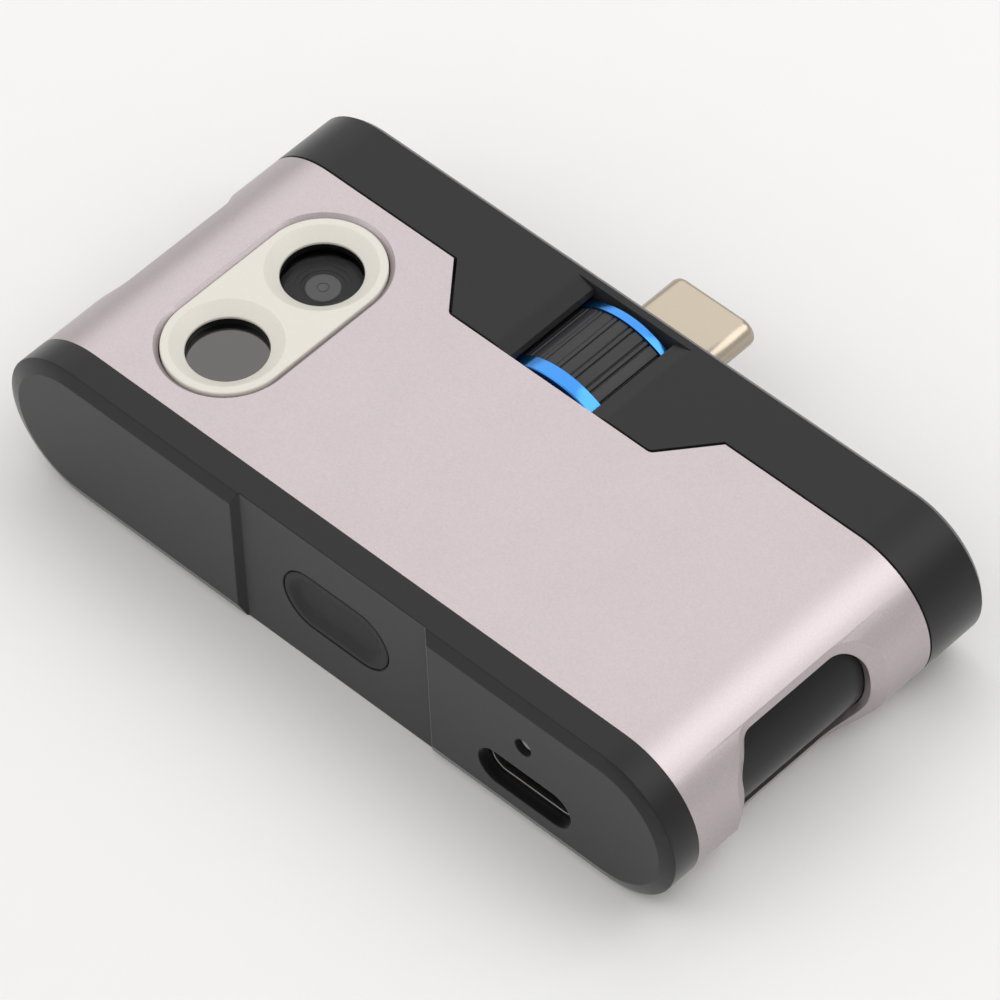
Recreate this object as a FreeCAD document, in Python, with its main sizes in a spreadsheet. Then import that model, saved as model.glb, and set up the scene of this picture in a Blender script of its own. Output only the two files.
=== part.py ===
"""Thermal camera that plugs into a phone, lying on its back.

Millimetres. +X runs along the length, +Y is the way the plug points and +Z is the way the
lenses look. The origin is the centre of the flat back face.
"""
import FreeCAD, Part

import math
import os
from types import SimpleNamespace

import Sketcher

# ---------------------------------------------------------------- driving dimensions
SIZES = {
    # whole body: a flat bar with full-round ends
    "body_length": 68.0,
    "body_depth": 34.0,
    "body_thick": 14.0,
    # metal sleeve
    "sleeve_wall": 1.3,
    "bezel_lip": 0.4,
    "grip_top": 2.55,
    "grip_foot": 1.7,
    "grip_near_margin": 5.57,
    "grip_far_margin": 5.7,
    "grip_slope": 1.85,
    "grip_flat": 3.8,
    "grip_round": 2.9,
    "grip_curve": 2.2,
    "grip_blend": 1.2,
    "grip_bevel": 1.2,
    "bevel_share": 0.55,
    # inner frame
    "frame_fit": 0.08,
    "frame_wall": 0.9,
    "frame_gap": 0.1,
    "boss_width": 2.6,
    # cap with the button and the charging port
    "port_cap_depth": 2.98,
    "port_cap_wall": 1.8,
    "port_spigot": 1.9,
    "spigot_wall": 1.0,
    "recess_margin": 4.7,
    "recess_depth": 0.55,
    "edge_bevel": 1.2,
    "edge_drop": 0.45,
    # cap with the dial and the plug
    "plug_cap_depth": 6.15,
    "plug_cap_wall": 1.05,
    "plug_spigot": 3.1,
    "seam_gap": 0.18,
    "tab_base": 27.6,
    "tab_tip": 20.5,
    "tab_reach": 4.29,
    "tab_round": 0.5,
    "window_width": 8.3,
    "scoop_width": 11.6,
    "scoop_curve": 23.4,
    "cheek_width": 22.4,
    "cheek_play": 0.1,
    "dial_notch_clear": 0.4,
    # lens bezel and windows
    "bezel_end_margin": 1.39,
    "bezel_near_margin": 2.45,
    "bezel_far_margin": 2.23,
    "bezel_gap": 0.1,
    "bezel_sink": 0.05,
    "adhesive_thick": 0.08,
    "bezel_rim": 0.65,
    "hole_part": 6.46,
    "cone_part": 2.34,
    "cone_depth": 0.75,
    "hood_wall": 0.28,
    "hood_height": 0.3,
    "hood_fit": 0.04,
    "glass_seat": 0.57,
    "glass_fit": 0.04,
    "glass_sink_share": 0.78,
    "glass_thick": 0.65,
    # dial
    "dial_sink": 0.05,
    "dial_bevel": 0.15,
    "near_rim": 1.24,
    "far_rim": 0.8,
    "tread_sink": 0.15,
    "tread_share": 0.4,
    "tread_ribs": 27,
    "groove_width": 0.18,
    "groove_depth": 0.2,
    "groove_pitch": 0.5,
    "journal_wall": 0.85,
    "journal_share": 0.48,
    "journal_end_play": 0.1,
    "running_fit": 0.05,
    "dial_room": 0.25,
    "dial_side_play": 0.35,
    "dial_setback": 0.42,
    "washer_thick": 0.12,
    "washer_clear": 0.25,
    "retainer_thick": 1.2,
    "retainer_clear": 0.5,
    "retainer_inner": 2.6,
    # carriage and plug
    "collar_wall": 0.53,
    "collar_length": 4.7,
    "plug_travel": 2.5,
    "collar_end_gap": 0.76,
    "plug_width": 8.34,
    "plug_thick": 2.56,
    "plug_wall": 0.2,
    "plug_stickout": 7.7,
    "plug_root": 1.0,
    "plug_fit": 0.08,
    "plug_mouth": 6.2,
    "mouth_width": 6.9,
    "mouth_height": 0.9,
    "contact_count": 12,
    "contact_pitch": 0.5,
    "contact_width": 0.26,
    "contact_thick": 0.1,
    # charging port
    "port_inset": 14.55,
    "port_lift": 0.45,
    "slot_side_gap": 0.13,
    "slot_top_gap": 0.17,
    "port_width": 8.94,
    "port_height": 3.16,
    "port_length": 7.3,
    "port_wall": 0.25,
    "port_sink": 1.1,
    "port_back": 1.2,
    "tongue_inset": 1.125,
    "tongue_thick": 0.7,
    "tongue_sink": 0.6,
    "ear_reach": 0.8,
    "ear_width": 1.6,
    "ear_thick": 0.25,
    # power button and its board
    "button_width": 10.6,
    "button_height": 5.6,
    "button_gap": 0.12,
    "button_dish": 0.4,
    "button_rim": 0.5,
    "button_slope": 60.0,
    "button_flange": 0.5,
    "flange_thick": 0.4,
    "button_travel": 0.3,
    "stem_width": 2.2,
    "switch_width": 3.0,
    "switch_body": 0.7,
    "actuator_width": 1.6,
    "actuator_rise": 0.45,
    "button_board_thick": 0.6,
    "button_board_sink": 0.2,
    "button_board_end": 1.8,
    "button_board_inset": 3.4,
    "shelf_rise": 0.47,
    "shelf_room": 2.68,
    "shelf_past_light": 3.1,
    "button_screw_reach": 3.5,
    "button_post_width": 2.4,
    # status light
    "light_shift": 0.05,
    "light_rise": 1.95,
    "light_hole": 1.6,
    "light_fit": 0.05,
    "light_sink": 0.5,
    "led_width": 1.5,
    "led_thick": 0.5,
    # main board
    "board_thick": 0.8,
    "board_rise": 0.72,
    "board_overrun": 0.2,
    "board_near_gap": 0.82,
    "board_far_gap": 0.19,
    "board_notch_gap": 0.12,
    "screw_left_room": 2.06,
    "screw_right_room": 1.08,
    "screw_near_inset": 1.7,
    "screw_far_inset": 1.9,
    "screw_shank": 1.0,
    "screw_head": 2.0,
    "screw_head_thick": 0.5,
    "screw_depth": 0.9,
    "can_wall": 0.15,
    "can_height": 1.5,
    "can_left_gap": 2.2,
    "can_right_gap": 1.46,
    "can_space": 1.0,
    "can_inset": 2.9,
    "chip_side_gap": 1.75,
    "chip_end_gap": 1.5,
    "chip_height": 1.0,
    "connector_width": 4.4,
    "plug_connector_room": 2.8,
    "battery_connector_room": 5.0,
    "connector_depth": 2.0,
    "connector_height": 0.9,
    "flex_thick": 0.2,
    "flex_width": 3.6,
    "flex_gap": 0.1,
    # battery
    "battery_left_gap": 2.0,
    "battery_near_inset": 0.9,
    "battery_far_inset": 2.3,
    "battery_top_pad": 0.67,
    "pad_thick": 0.85,
    # thermal core
    "core_part": 11.4,
    "module_gap": 0.39,
    "core_wall": 0.5,
    "core_head_room": 1.77,
    "core_board": 0.6,
    "socket_height": 0.8,
    "socket_wall": 0.9,
    "barrel_part": 6.0,
    "barrel_margin_part": 5.4,
    "bore_part": 4.6,
    "bore_wall_part": 1.4,
    "barrel_lift": 1.82,
    "barrel_gap": 0.15,
    "core_lens_thick": 0.7,
    "core_lens_sink": 0.3,
    "sensor_part": 4.0,
    "sensor_margin_part": 7.4,
    "sensor_thick": 0.5,
    "shutter_clear": 0.35,
    "shutter_thick": 0.2,
    "shutter_disc": 3.0,
    "arm_part": 5.5,
    "arm_margin_part": 5.9,
    "shutter_arm_width": 1.0,
    "shutter_hub": 1.8,
    "shutter_swing": 38.0,
    "pin_width": 0.8,
    "coil_width": 2.0,
    "coil_gap": 0.31,
    "coil_head_room": 0.7,
    # visible camera
    "camera_part": 8.0,
    "camera_wall": 0.5,
    "camera_board": 0.4,
    "camera_stand": 2.0,
    "eye_part": 6.0,
    "eye_margin_part": 2.0,
    "eye_gap": 0.17,
    "eye_height": 1.4,
    "pupil_part": 2.8,
    "iris_part": 3.2,
    "eye_lens": 1.3,
}

EDGE_SEARCH = 0.05
QUARTER_TURN = 90
FULL_TURN = 360
DIAGONAL = 45


class Size:
    """A length that carries its number and the sheet expression it comes from."""

    def __init__(self, text, value):
        self.text = text
        self.value = value

    def __add__(self, other):
        other = as_size(other)
        return Size(f"({self.text} + {other.text})", self.value + other.value)

    def __sub__(self, other):
        other = as_size(other)
        return Size(f"({self.text} - {other.text})", self.value - other.value)

    def __mul__(self, other):
        other = as_size(other)
        return Size(f"({self.text} * {other.text})", self.value * other.value)

    def __truediv__(self, other):
        other = as_size(other)
        return Size(f"({self.text} / {other.text})", self.value / other.value)

    def __neg__(self):
        return Size(f"(0 - {self.text})", -self.value)

    __radd__ = __add__
    __rmul__ = __mul__


def as_size(thing):
    """Let a plain number take part in a sum of sizes."""
    return thing if isinstance(thing, Size) else Size(str(thing), float(thing))


def root(size):
    return Size(f"sqrt({size.text})", math.sqrt(size.value))


def turned(length, angle):
    """The two sides of a right triangle with this long side and this angle in degrees."""
    along = Size(f"({length.text} * cos({angle.text} * 1 deg))",
                 length.value * math.cos(math.radians(angle.value)))
    across = Size(f"({length.text} * sin({angle.text} * 1 deg))",
                  length.value * math.sin(math.radians(angle.value)))
    return along, across


def share(length, part, rest):
    """What one part takes of a length that it splits with the rest."""
    return length * part / (part + rest)


# ---------------------------------------------------------------- document and sheets
doc = FreeCAD.newDocument("thermal_camera")
sizes_sheet = doc.addObject("Spreadsheet::Sheet", "Sizes")
places_sheet = doc.addObject("Spreadsheet::Sheet", "Places")
node_objects = {}


def fill_sizes():
    """Write the driving dimensions to the sheet and hand them back as sizes."""
    for row, (alias, value) in enumerate(SIZES.items(), start=1):
        sizes_sheet.set(f"A{row}", alias)
        sizes_sheet.set(f"B{row}", str(value))
        sizes_sheet.setAlias(f"B{row}", alias)
    return SimpleNamespace(**{alias: Size(f"Sizes.{alias}", value) for alias, value in SIZES.items()})


def fill_places(places):
    """Add worked-out stations and widths to their own sheet, each as a formula of the sizes."""
    for row, (alias, size) in enumerate(places.items(), start=len(vars(p)) + 1):
        places_sheet.set(f"A{row}", alias)
        places_sheet.set(f"B{row}", "=" + size.text)
        places_sheet.setAlias(f"B{row}", alias)
        setattr(p, alias, Size(f"Places.{alias}", size.value))


s = fill_sizes()
p = SimpleNamespace()


def place_casing():
    """Ends and faces of the sleeve, the caps and the frame."""
    near_face = -s.body_depth / 2
    far_face = s.body_depth / 2
    sleeve_near = near_face + s.port_cap_depth
    sleeve_far = far_face - s.plug_cap_depth
    port_spigot_end = sleeve_near + s.port_spigot
    plug_cap_near = sleeve_far + s.seam_gap
    plug_spigot_end = plug_cap_near - s.plug_spigot - s.seam_gap
    frame_inset = s.sleeve_wall + s.frame_fit
    frame_top = s.body_thick - frame_inset
    return {
        "end_x": s.body_length / 2,
        "straight_half": (s.body_length - s.body_thick) / 2,
        "middle": s.body_thick / 2,
        "near_face": near_face,
        "far_face": far_face,
        "sleeve_near": sleeve_near,
        "sleeve_far": sleeve_far,
        "grip_near": sleeve_near + s.grip_near_margin,
        "grip_far": sleeve_far - s.grip_far_margin,
        "tab_edge": sleeve_far - s.tab_reach,
        "port_wall_in": near_face + s.port_cap_wall,
        "port_spigot_end": port_spigot_end,
        "plug_wall_in": far_face - s.plug_cap_wall,
        "plug_cap_near": plug_cap_near,
        "plug_spigot_end": plug_spigot_end,
        "frame_near": port_spigot_end + s.frame_gap,
        "frame_far": plug_spigot_end - s.frame_gap,
        "frame_inset": frame_inset,
        "frame_floor": frame_inset + s.frame_wall,
        "frame_top": frame_top,
        "frame_roof": frame_top - s.frame_wall,
    }


def place_dial():
    """Stations and widths of the dial and of the carriage inside it."""
    dial_width = s.body_thick - s.dial_sink * 2
    dial_near = p.tab_edge + s.dial_setback
    collar_width = s.plug_width + s.collar_wall * 2
    dial_bore = collar_width + s.running_fit * 2
    collar_far = p.plug_wall_in - s.plug_travel - s.collar_end_gap
    tread_width = dial_width - s.tread_sink * 2
    retainer_far = dial_near - s.washer_thick
    return {
        "dial_width": dial_width,
        "dial_bore": dial_bore,
        "dial_near": dial_near,
        "dial_far": p.plug_wall_in - s.dial_side_play,
        "tread_width": tread_width,
        "tread_bore": tread_width - (tread_width - dial_bore) * s.tread_share,
        "journal_width": dial_bore + s.journal_wall * 2,
        "journal_end": p.plug_wall_in + s.plug_cap_wall * s.journal_share,
        "retainer_near": retainer_far - s.retainer_thick,
        "retainer_far": retainer_far,
        "collar_width": collar_width,
        "collar_near": collar_far - s.collar_length,
        "collar_far": collar_far,
        "plug_tip": p.far_face + s.plug_stickout,
    }


def place_lenses():
    """The bezel, its two lens holes and the modules behind them."""
    bezel_depth = p.sleeve_far - s.bezel_far_margin - p.sleeve_near - s.bezel_near_margin
    bezel_width = bezel_depth / 2
    spacing = bezel_depth - bezel_width
    cone_width = bezel_width - s.bezel_rim * 2
    lens_hole = share(cone_width, s.hole_part, s.cone_part)
    core_width = share((spacing - s.module_gap) * 2, s.core_part, s.camera_part)
    camera_width = share((spacing - s.module_gap) * 2, s.camera_part, s.core_part)
    barrel_width = share(core_width, s.barrel_part, s.barrel_margin_part)
    eye_width = share(camera_width, s.eye_part, s.eye_margin_part)
    glass_top = p.frame_roof + s.frame_wall * s.glass_sink_share
    return {
        "lens_x": s.bezel_end_margin + bezel_width / 2 - p.straight_half,
        "lens_near": p.sleeve_near + s.bezel_near_margin + bezel_width / 2,
        "lens_far": p.sleeve_far - s.bezel_far_margin - bezel_width / 2,
        "bezel_width": bezel_width,
        "cone_width": cone_width,
        "lens_hole": lens_hole,
        "hood_width": lens_hole + s.hood_wall * 2,
        "glass_width": lens_hole + s.glass_seat * 2,
        "glass_top": glass_top,
        "glass_low": glass_top - s.glass_thick,
        "core_width": core_width,
        "sensor_width": share(core_width, s.sensor_part, s.sensor_margin_part),
        "barrel_width": barrel_width,
        "barrel_bore": share(barrel_width, s.bore_part, s.bore_wall_part),
        "shutter_arm": share(core_width, s.arm_part, s.arm_margin_part),
        "camera_width": camera_width,
        "eye_width": eye_width,
        "eye_pupil": share(eye_width, s.pupil_part, s.iris_part),
    }


def place_boards():
    """The main board, what stands on it, and the button board."""
    port_x = p.end_x - s.port_inset
    light_x = port_x + s.light_shift
    board_low = p.frame_floor + s.board_rise
    board_top = board_low + s.board_thick
    can_top = board_top + s.can_height
    button_board_far = p.port_spigot_end - s.button_board_sink
    board_near = button_board_far + s.board_near_gap
    board_far = p.retainer_near - s.board_far_gap
    screw_left = p.lens_x + p.core_width / 2 + s.screw_left_room
    can_left = screw_left + s.can_left_gap
    can_right = port_x - s.port_width / 2 - s.board_notch_gap - s.can_right_gap
    core_board_low = board_top + s.socket_height
    camera_board_low = board_top + s.camera_stand
    return {
        "port_x": port_x,
        "port_z": board_top + s.port_lift,
        "slot_width": s.port_width + s.slot_side_gap * 2,
        "slot_height": s.port_height + s.slot_top_gap * 2,
        "light_x": light_x,
        "light_z": p.middle + s.light_rise,
        "board_low": board_low,
        "board_top": board_top,
        "board_near": board_near,
        "board_far": board_far,
        "screw_left": screw_left,
        "screw_right": port_x + s.port_width / 2 + s.ear_reach + s.screw_right_room,
        "can_top": can_top,
        "can_left": can_left,
        "can_right": can_right,
        "can_split": (can_left + can_right) / 2,
        "can_near": board_near + s.can_inset,
        "can_far": board_far - s.can_inset,
        "battery_low": can_top + s.pad_thick,
        "battery_top": p.frame_roof - s.battery_top_pad,
        "battery_far": board_far - s.battery_far_inset,
        "button_board_far": button_board_far,
        "button_board_near": button_board_far - s.button_board_thick,
        "button_board_left": -s.button_width / 2 - s.button_screw_reach - s.button_board_end,
        "core_board_low": core_board_low,
        "core_low": core_board_low + s.core_board,
        "camera_board_low": camera_board_low,
        "camera_low": camera_board_low + s.camera_board,
    }


fill_places(place_casing())
fill_places(place_dial())
fill_places(place_lenses())
fill_places(place_boards())


# ---------------------------------------------------------------- modelling helpers
def node(name, piece):
    """Name a finished piece so that it is checked and written out."""
    piece.Label = name
    node_objects[name] = piece
    return piece


def bind(thing, path, size):
    thing.setExpression(path, as_size(size).text)


def box(name, x, y, z):
    """A block between a low and a high station on each axis."""
    block = doc.addObject("Part::Box", name)
    for side, axis, (low, high) in (("Length", "x", x), ("Width", "y", y), ("Height", "z", z)):
        bind(block, side, as_size(high) - low)
        bind(block, f"Placement.Base.{axis}", low)
    return block


AXIS_TURN = {
    "x": FreeCAD.Rotation(FreeCAD.Vector(0, 1, 0), QUARTER_TURN),
    "y": FreeCAD.Rotation(FreeCAD.Vector(1, 0, 0), -QUARTER_TURN),
    "z": FreeCAD.Rotation(),
}


def place_on_axis(thing, axis, centre, start):
    """Stand a round primitive on an axis: centre gives the two other coordinates in order."""
    thing.Placement.Rotation = AXIS_TURN[axis]
    spots = dict(zip([name for name in "xyz" if name != axis], centre))
    spots[axis] = start
    for name, spot in spots.items():
        bind(thing, f"Placement.Base.{name}", spot)


def rod(name, axis, centre, ends, width):
    """A cylinder of the given diameter between two stations."""
    cylinder = doc.addObject("Part::Cylinder", name)
    bind(cylinder, "Radius", width / 2)
    bind(cylinder, "Height", as_size(ends[1]) - ends[0])
    place_on_axis(cylinder, axis, centre, ends[0])
    return cylinder


def cone(name, axis, centre, ends, widths):
    """A cone frustum with its two end diameters."""
    frustum = doc.addObject("Part::Cone", name)
    bind(frustum, "Radius1", as_size(widths[0]) / 2)
    bind(frustum, "Radius2", as_size(widths[1]) / 2)
    bind(frustum, "Height", as_size(ends[1]) - ends[0])
    place_on_axis(frustum, axis, centre, ends[0])
    return frustum


def fuse(name, *parts):
    joined = doc.addObject("Part::MultiFuse", name)
    joined.Shapes = list(parts)
    return joined


def cut(name, base, *tools):
    remainder = doc.addObject("Part::Cut", name)
    remainder.Base = base
    remainder.Tool = tools[0] if len(tools) == 1 else fuse(f"{name}_tools", *tools)
    return remainder


def group(name, *parts):
    """Separate solids that share one node."""
    bundle = doc.addObject("Part::Compound", name)
    bundle.Links = list(parts)
    return bundle


def ring(name, axis, centre, ends, outer, inner):
    return cut(name, rod(f"{name}_outside", axis, centre, ends, outer),
               rod(f"{name}_hole", axis, centre, ends, inner))


def locate(sketch, geometry, vertex, spot):
    """Pin one sketch point to its two stations."""
    for kind, size in zip(("DistanceX", "DistanceY"), spot):
        size = as_size(size)
        index = sketch.addConstraint(Sketcher.Constraint(kind, -1, 1, geometry, vertex, size.value))
        bind(sketch, f"Constraints[{index}]", size)


def circle(centre, width):
    """Outline: a circle of the given diameter."""
    def draw(sketch):
        middle = FreeCAD.Vector(as_size(centre[0]).value, as_size(centre[1]).value, 0)
        radius = width / 2
        index = sketch.addGeometry(Part.Circle(middle, FreeCAD.Vector(0, 0, 1), radius.value), False)
        locate(sketch, index, 3, centre)
        rule = sketch.addConstraint(Sketcher.Constraint("Radius", index, radius.value))
        bind(sketch, f"Constraints[{rule}]", radius)
    return draw


def polygon(*corners):
    """Outline: straight sides through the corners in order."""
    def draw(sketch):
        spots = [FreeCAD.Vector(as_size(u).value, as_size(v).value, 0) for u, v in corners]
        sides = [Part.LineSegment(spot, after) for spot, after in zip(spots, spots[1:] + spots[:1])]
        first, *others = sketch.addGeometry(sides, False)
        chain = [first, *others]
        for side, after in zip(chain, chain[1:] + chain[:1]):
            sketch.addConstraint(Sketcher.Constraint("Coincident", side, 2, after, 1))
        for side, corner in zip(chain, corners):
            locate(sketch, side, 1, corner)
    return draw


def rectangle(u, v):
    """Outline: a rectangle between two pairs of stations."""
    return polygon((u[0], v[0]), (u[1], v[0]), (u[1], v[1]), (u[0], v[1]))


def corner_arc(before, spot, after, radius):
    """The arc that rounds a corner, and the numbers of the sketch points where it enters and leaves."""
    back = (before - spot).normalize()
    ahead = (after - spot).normalize()
    half = back.getAngle(ahead) / 2
    middle = spot + (back + ahead).normalize() * (radius / math.sin(half))
    reach = radius / math.tan(half)
    enter, leave = (math.atan2(foot.y - middle.y, foot.x - middle.x)
                    for foot in (spot + back * reach, spot + ahead * reach))
    turns_left = back.cross(ahead).z < 0
    first, last = (enter, leave) if turns_left else (leave, enter)
    round_corner = Part.Circle(middle, FreeCAD.Vector(0, 0, 1), radius)
    return Part.ArcOfCircle(round_corner, first, last), (1, 2) if turns_left else (2, 1)


def rounded(corners, radii):
    """Outline: straight sides through the corners, with an arc of its own radius at each corner."""
    def draw(sketch):
        spots = [FreeCAD.Vector(as_size(u).value, as_size(v).value, 0) for u, v in corners]
        neighbours = zip(spots[-1:] + spots[:-1], spots, spots[1:] + spots[:1], radii)
        arcs, ends = zip(*[corner_arc(*three, radius.value) for *three, radius in neighbours])
        feet = [[(arc.StartPoint, arc.EndPoint)[end - 1] for end in pair] for arc, pair in zip(arcs, ends)]
        sides = [Part.LineSegment(foot[1], after[0]) for foot, after in zip(feet, feet[1:] + feet[:1])]
        arc_ids = sketch.addGeometry(list(arcs), False)
        side_ids = sketch.addGeometry(sides, False)
        for index, (arc, radius) in enumerate(zip(arc_ids, radii)):
            enters, leaves = ends[index]
            sketch.addConstraint(Sketcher.Constraint("Tangent", side_ids[index - 1], 2, arc, enters))
            sketch.addConstraint(Sketcher.Constraint("Tangent", arc, leaves, side_ids[index], 1))
            rule = sketch.addConstraint(Sketcher.Constraint("Radius", arc, radius.value))
            bind(sketch, f"Constraints[{rule}]", radius)
            point = sketch.addGeometry(Part.Point(spots[index]), True)
            locate(sketch, point, 1, corners[index])
            sketch.addConstraint(Sketcher.Constraint("PointOnObject", point, 1, side_ids[index - 1]))
            sketch.addConstraint(Sketcher.Constraint("PointOnObject", point, 1, side_ids[index]))
    return draw


def slot(low, high, width):
    """Outline: a slot of the given width whose end circles are centred on the two spots."""
    def draw(sketch):
        radius = width / 2
        first = FreeCAD.Vector(as_size(low[0]).value, as_size(low[1]).value, 0)
        last = FreeCAD.Vector(as_size(high[0]).value, as_size(high[1]).value, 0)
        run = (last - first).normalize()
        side = FreeCAD.Vector(run.y, -run.x, 0) * radius.value
        heading = math.atan2(run.y, run.x)
        up = FreeCAD.Vector(0, 0, 1)
        quarter = math.pi / 2
        near_line, far_arc, back_line, near_arc = sketch.addGeometry([
            Part.LineSegment(first + side, last + side),
            Part.ArcOfCircle(Part.Circle(last, up, radius.value), heading - quarter, heading + quarter),
            Part.LineSegment(last - side, first - side),
            Part.ArcOfCircle(Part.Circle(first, up, radius.value), heading + quarter,
                             heading + math.tau - quarter),
        ], False)
        sketch.addConstraint([
            Sketcher.Constraint("Tangent", near_line, 2, far_arc, 1),
            Sketcher.Constraint("Tangent", far_arc, 2, back_line, 1),
            Sketcher.Constraint("Tangent", back_line, 2, near_arc, 1),
            Sketcher.Constraint("Tangent", near_arc, 2, near_line, 1),
        ])
        rule = sketch.addConstraint(Sketcher.Constraint("Radius", far_arc, radius.value))
        bind(sketch, f"Constraints[{rule}]", radius)
        locate(sketch, far_arc, 3, high)
        locate(sketch, near_arc, 3, low)
    return draw


def outlines(*drawings):
    """Several outlines in one sketch."""
    def draw(sketch):
        for drawing in drawings:
            drawing(sketch)
    return draw


class Body:
    """A PartDesign body shaped by pads and pockets between two stations of one axis."""

    FACING = {"XY_Plane": 1, "XZ_Plane": -1, "YZ_Plane": 1}

    def __init__(self, name):
        self.body = doc.addObject("PartDesign::Body", name)
        self.name = name
        self.step = 0

    def sketch(self, plane, draw, station):
        self.step += 1
        sketch = self.body.newObject("Sketcher::SketchObject", f"{self.name}_sketch_{self.step}")
        support = next(item for item in self.body.Origin.OriginFeatures if item.Role == plane)
        sketch.AttachmentSupport = [(support, "")]
        sketch.MapMode = "FlatFace"
        bind(sketch, "AttachmentOffset.Base.z", as_size(station) * self.FACING[plane])
        draw(sketch)
        return sketch

    def _sweep(self, kind, plane, draw, ends, backwards):
        profile = self.sketch(plane, draw, ends[0])
        feature = self.body.newObject(f"PartDesign::{kind}", f"{self.name}_{kind.lower()}_{self.step}")
        feature.Profile = profile
        bind(feature, "Length", as_size(ends[1]) - ends[0])
        feature.Reversed = backwards
        return feature

    def pad(self, plane, draw, ends):
        return self._sweep("Pad", plane, draw, ends, self.FACING[plane] < 0)

    def pocket(self, plane, draw, ends):
        return self._sweep("Pocket", plane, draw, ends, self.FACING[plane] > 0)

    def dress(self, kind, wanted, **amounts):
        """A fillet or chamfer on every edge of the tip that the test picks out."""
        doc.recompute()
        base = self.body.Tip
        names = [f"Edge{index}" for index, edge in enumerate(base.Shape.Edges, start=1) if wanted(edge)]
        if not names:
            raise ValueError(f"{self.name}: no edge to dress")
        self.step += 1
        feature = self.body.newObject(f"PartDesign::{kind}", f"{self.name}_{kind.lower()}_{self.step}")
        feature.Base = (base, names)
        for path, amount in amounts.items():
            bind(feature, path, amount)
        return feature


def near(value, size):
    return abs(value - as_size(size).value) < EDGE_SEARCH


def middle_of(edge):
    return edge.valueAt((edge.FirstParameter + edge.LastParameter) / 2)


def shell_outline(inset):
    """The bar's section, full-round at both ends, drawn in by an inset."""
    return slot((-p.straight_half, p.middle), (p.straight_half, p.middle), s.body_thick - inset * 2)


# ---------------------------------------------------------------- casing
def make_sleeve():
    """Metal tube with a notch for the dial tab, a hole for the bezel and two finger openings."""
    sleeve = Body("sleeve")
    ends = (p.sleeve_near, p.sleeve_far)
    sleeve.pad("XZ_Plane", shell_outline(as_size(0)), ends)
    sleeve.pocket("XZ_Plane", shell_outline(s.sleeve_wall), ends)
    sleeve.pocket("XY_Plane", tab_outline(as_size(0), p.sleeve_far), (as_size(0), s.body_thick))
    sleeve.dress("Fillet", lambda edge: on_tab_tip(edge, as_size(0)), Radius=s.tab_round + s.seam_gap)
    bezel_hole = slot((p.lens_x, p.lens_near), (p.lens_x, p.lens_far), p.bezel_width + s.bezel_gap * 2)
    sleeve.pocket("XY_Plane", bezel_hole, (p.middle, s.body_thick))
    sleeve.dress("Chamfer", lambda edge: near(edge.BoundBox.ZMin, s.body_thick) and on_bezel_hole(edge),
                 Size=s.bezel_lip)
    for side in (1, -1):
        reach = (p.straight_half, p.end_x) if side > 0 else (-p.end_x, -p.straight_half)
        sleeve.pocket("YZ_Plane", grip_outline(side), reach)
        sleeve.dress("Chamfer", lambda edge, side=side: on_grip_rim(edge, side),
                     Size=s.grip_bevel, Size2=s.sleeve_wall * s.bevel_share)
        sleeve.body.Tip.ChamferType = "Two distances"
    return node("sleeve", sleeve.body)


def grip_outline(side):
    """A finger opening seen from its end: sloped corners at the button side, round ones at the plug side."""
    flat, foot, top = s.grip_flat / 2, s.grip_foot, s.body_thick - s.grip_top
    corner = s.grip_round if side > 0 else s.grip_blend
    return rounded(((p.grip_near, p.middle - flat), (p.grip_near + s.grip_slope, foot), (p.grip_far, foot),
                    (p.grip_far, top), (p.grip_near + s.grip_slope, top), (p.grip_near, p.middle + flat)),
                   (s.grip_curve, s.grip_blend, corner, corner, s.grip_blend, s.grip_curve))


def tab_outline(inset, back):
    """The dial tab seen from the front, drawn in by an inset on its free sides."""
    tip, base = s.tab_tip / 2 - inset, s.tab_base / 2 - inset
    edge = p.tab_edge + inset
    return polygon((-base, back), (-tip, edge), (tip, edge), (base, back))


def on_tab_tip(edge, inset):
    """Whether an edge is one of the upright corners at the tab's narrow end."""
    spot = middle_of(edge)
    upright = edge.BoundBox.XLength < EDGE_SEARCH and edge.BoundBox.YLength < EDGE_SEARCH
    return upright and near(abs(spot.x), s.tab_tip / 2 - inset) and near(spot.y, p.tab_edge + inset)


def on_bezel_hole(edge):
    """Whether a point of the edge lies on the wall of the bezel's hole."""
    spot = middle_of(edge)
    along = min(max(spot.y, p.lens_near.value), p.lens_far.value)
    distance = math.hypot(spot.x - p.lens_x.value, spot.y - along)
    return near(distance, p.bezel_width / 2 + s.bezel_gap)


def on_grip_rim(edge, side):
    """Whether an edge is where a finger opening meets the sleeve's round outside."""
    spot = middle_of(edge)
    out = spot.x * side - p.straight_half.value
    radius = math.hypot(out, spot.z - p.middle.value)
    inside = p.sleeve_near.value + EDGE_SEARCH < spot.y < p.grip_far.value + EDGE_SEARCH
    return out > EDGE_SEARCH and near(radius, p.middle) and inside


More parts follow.
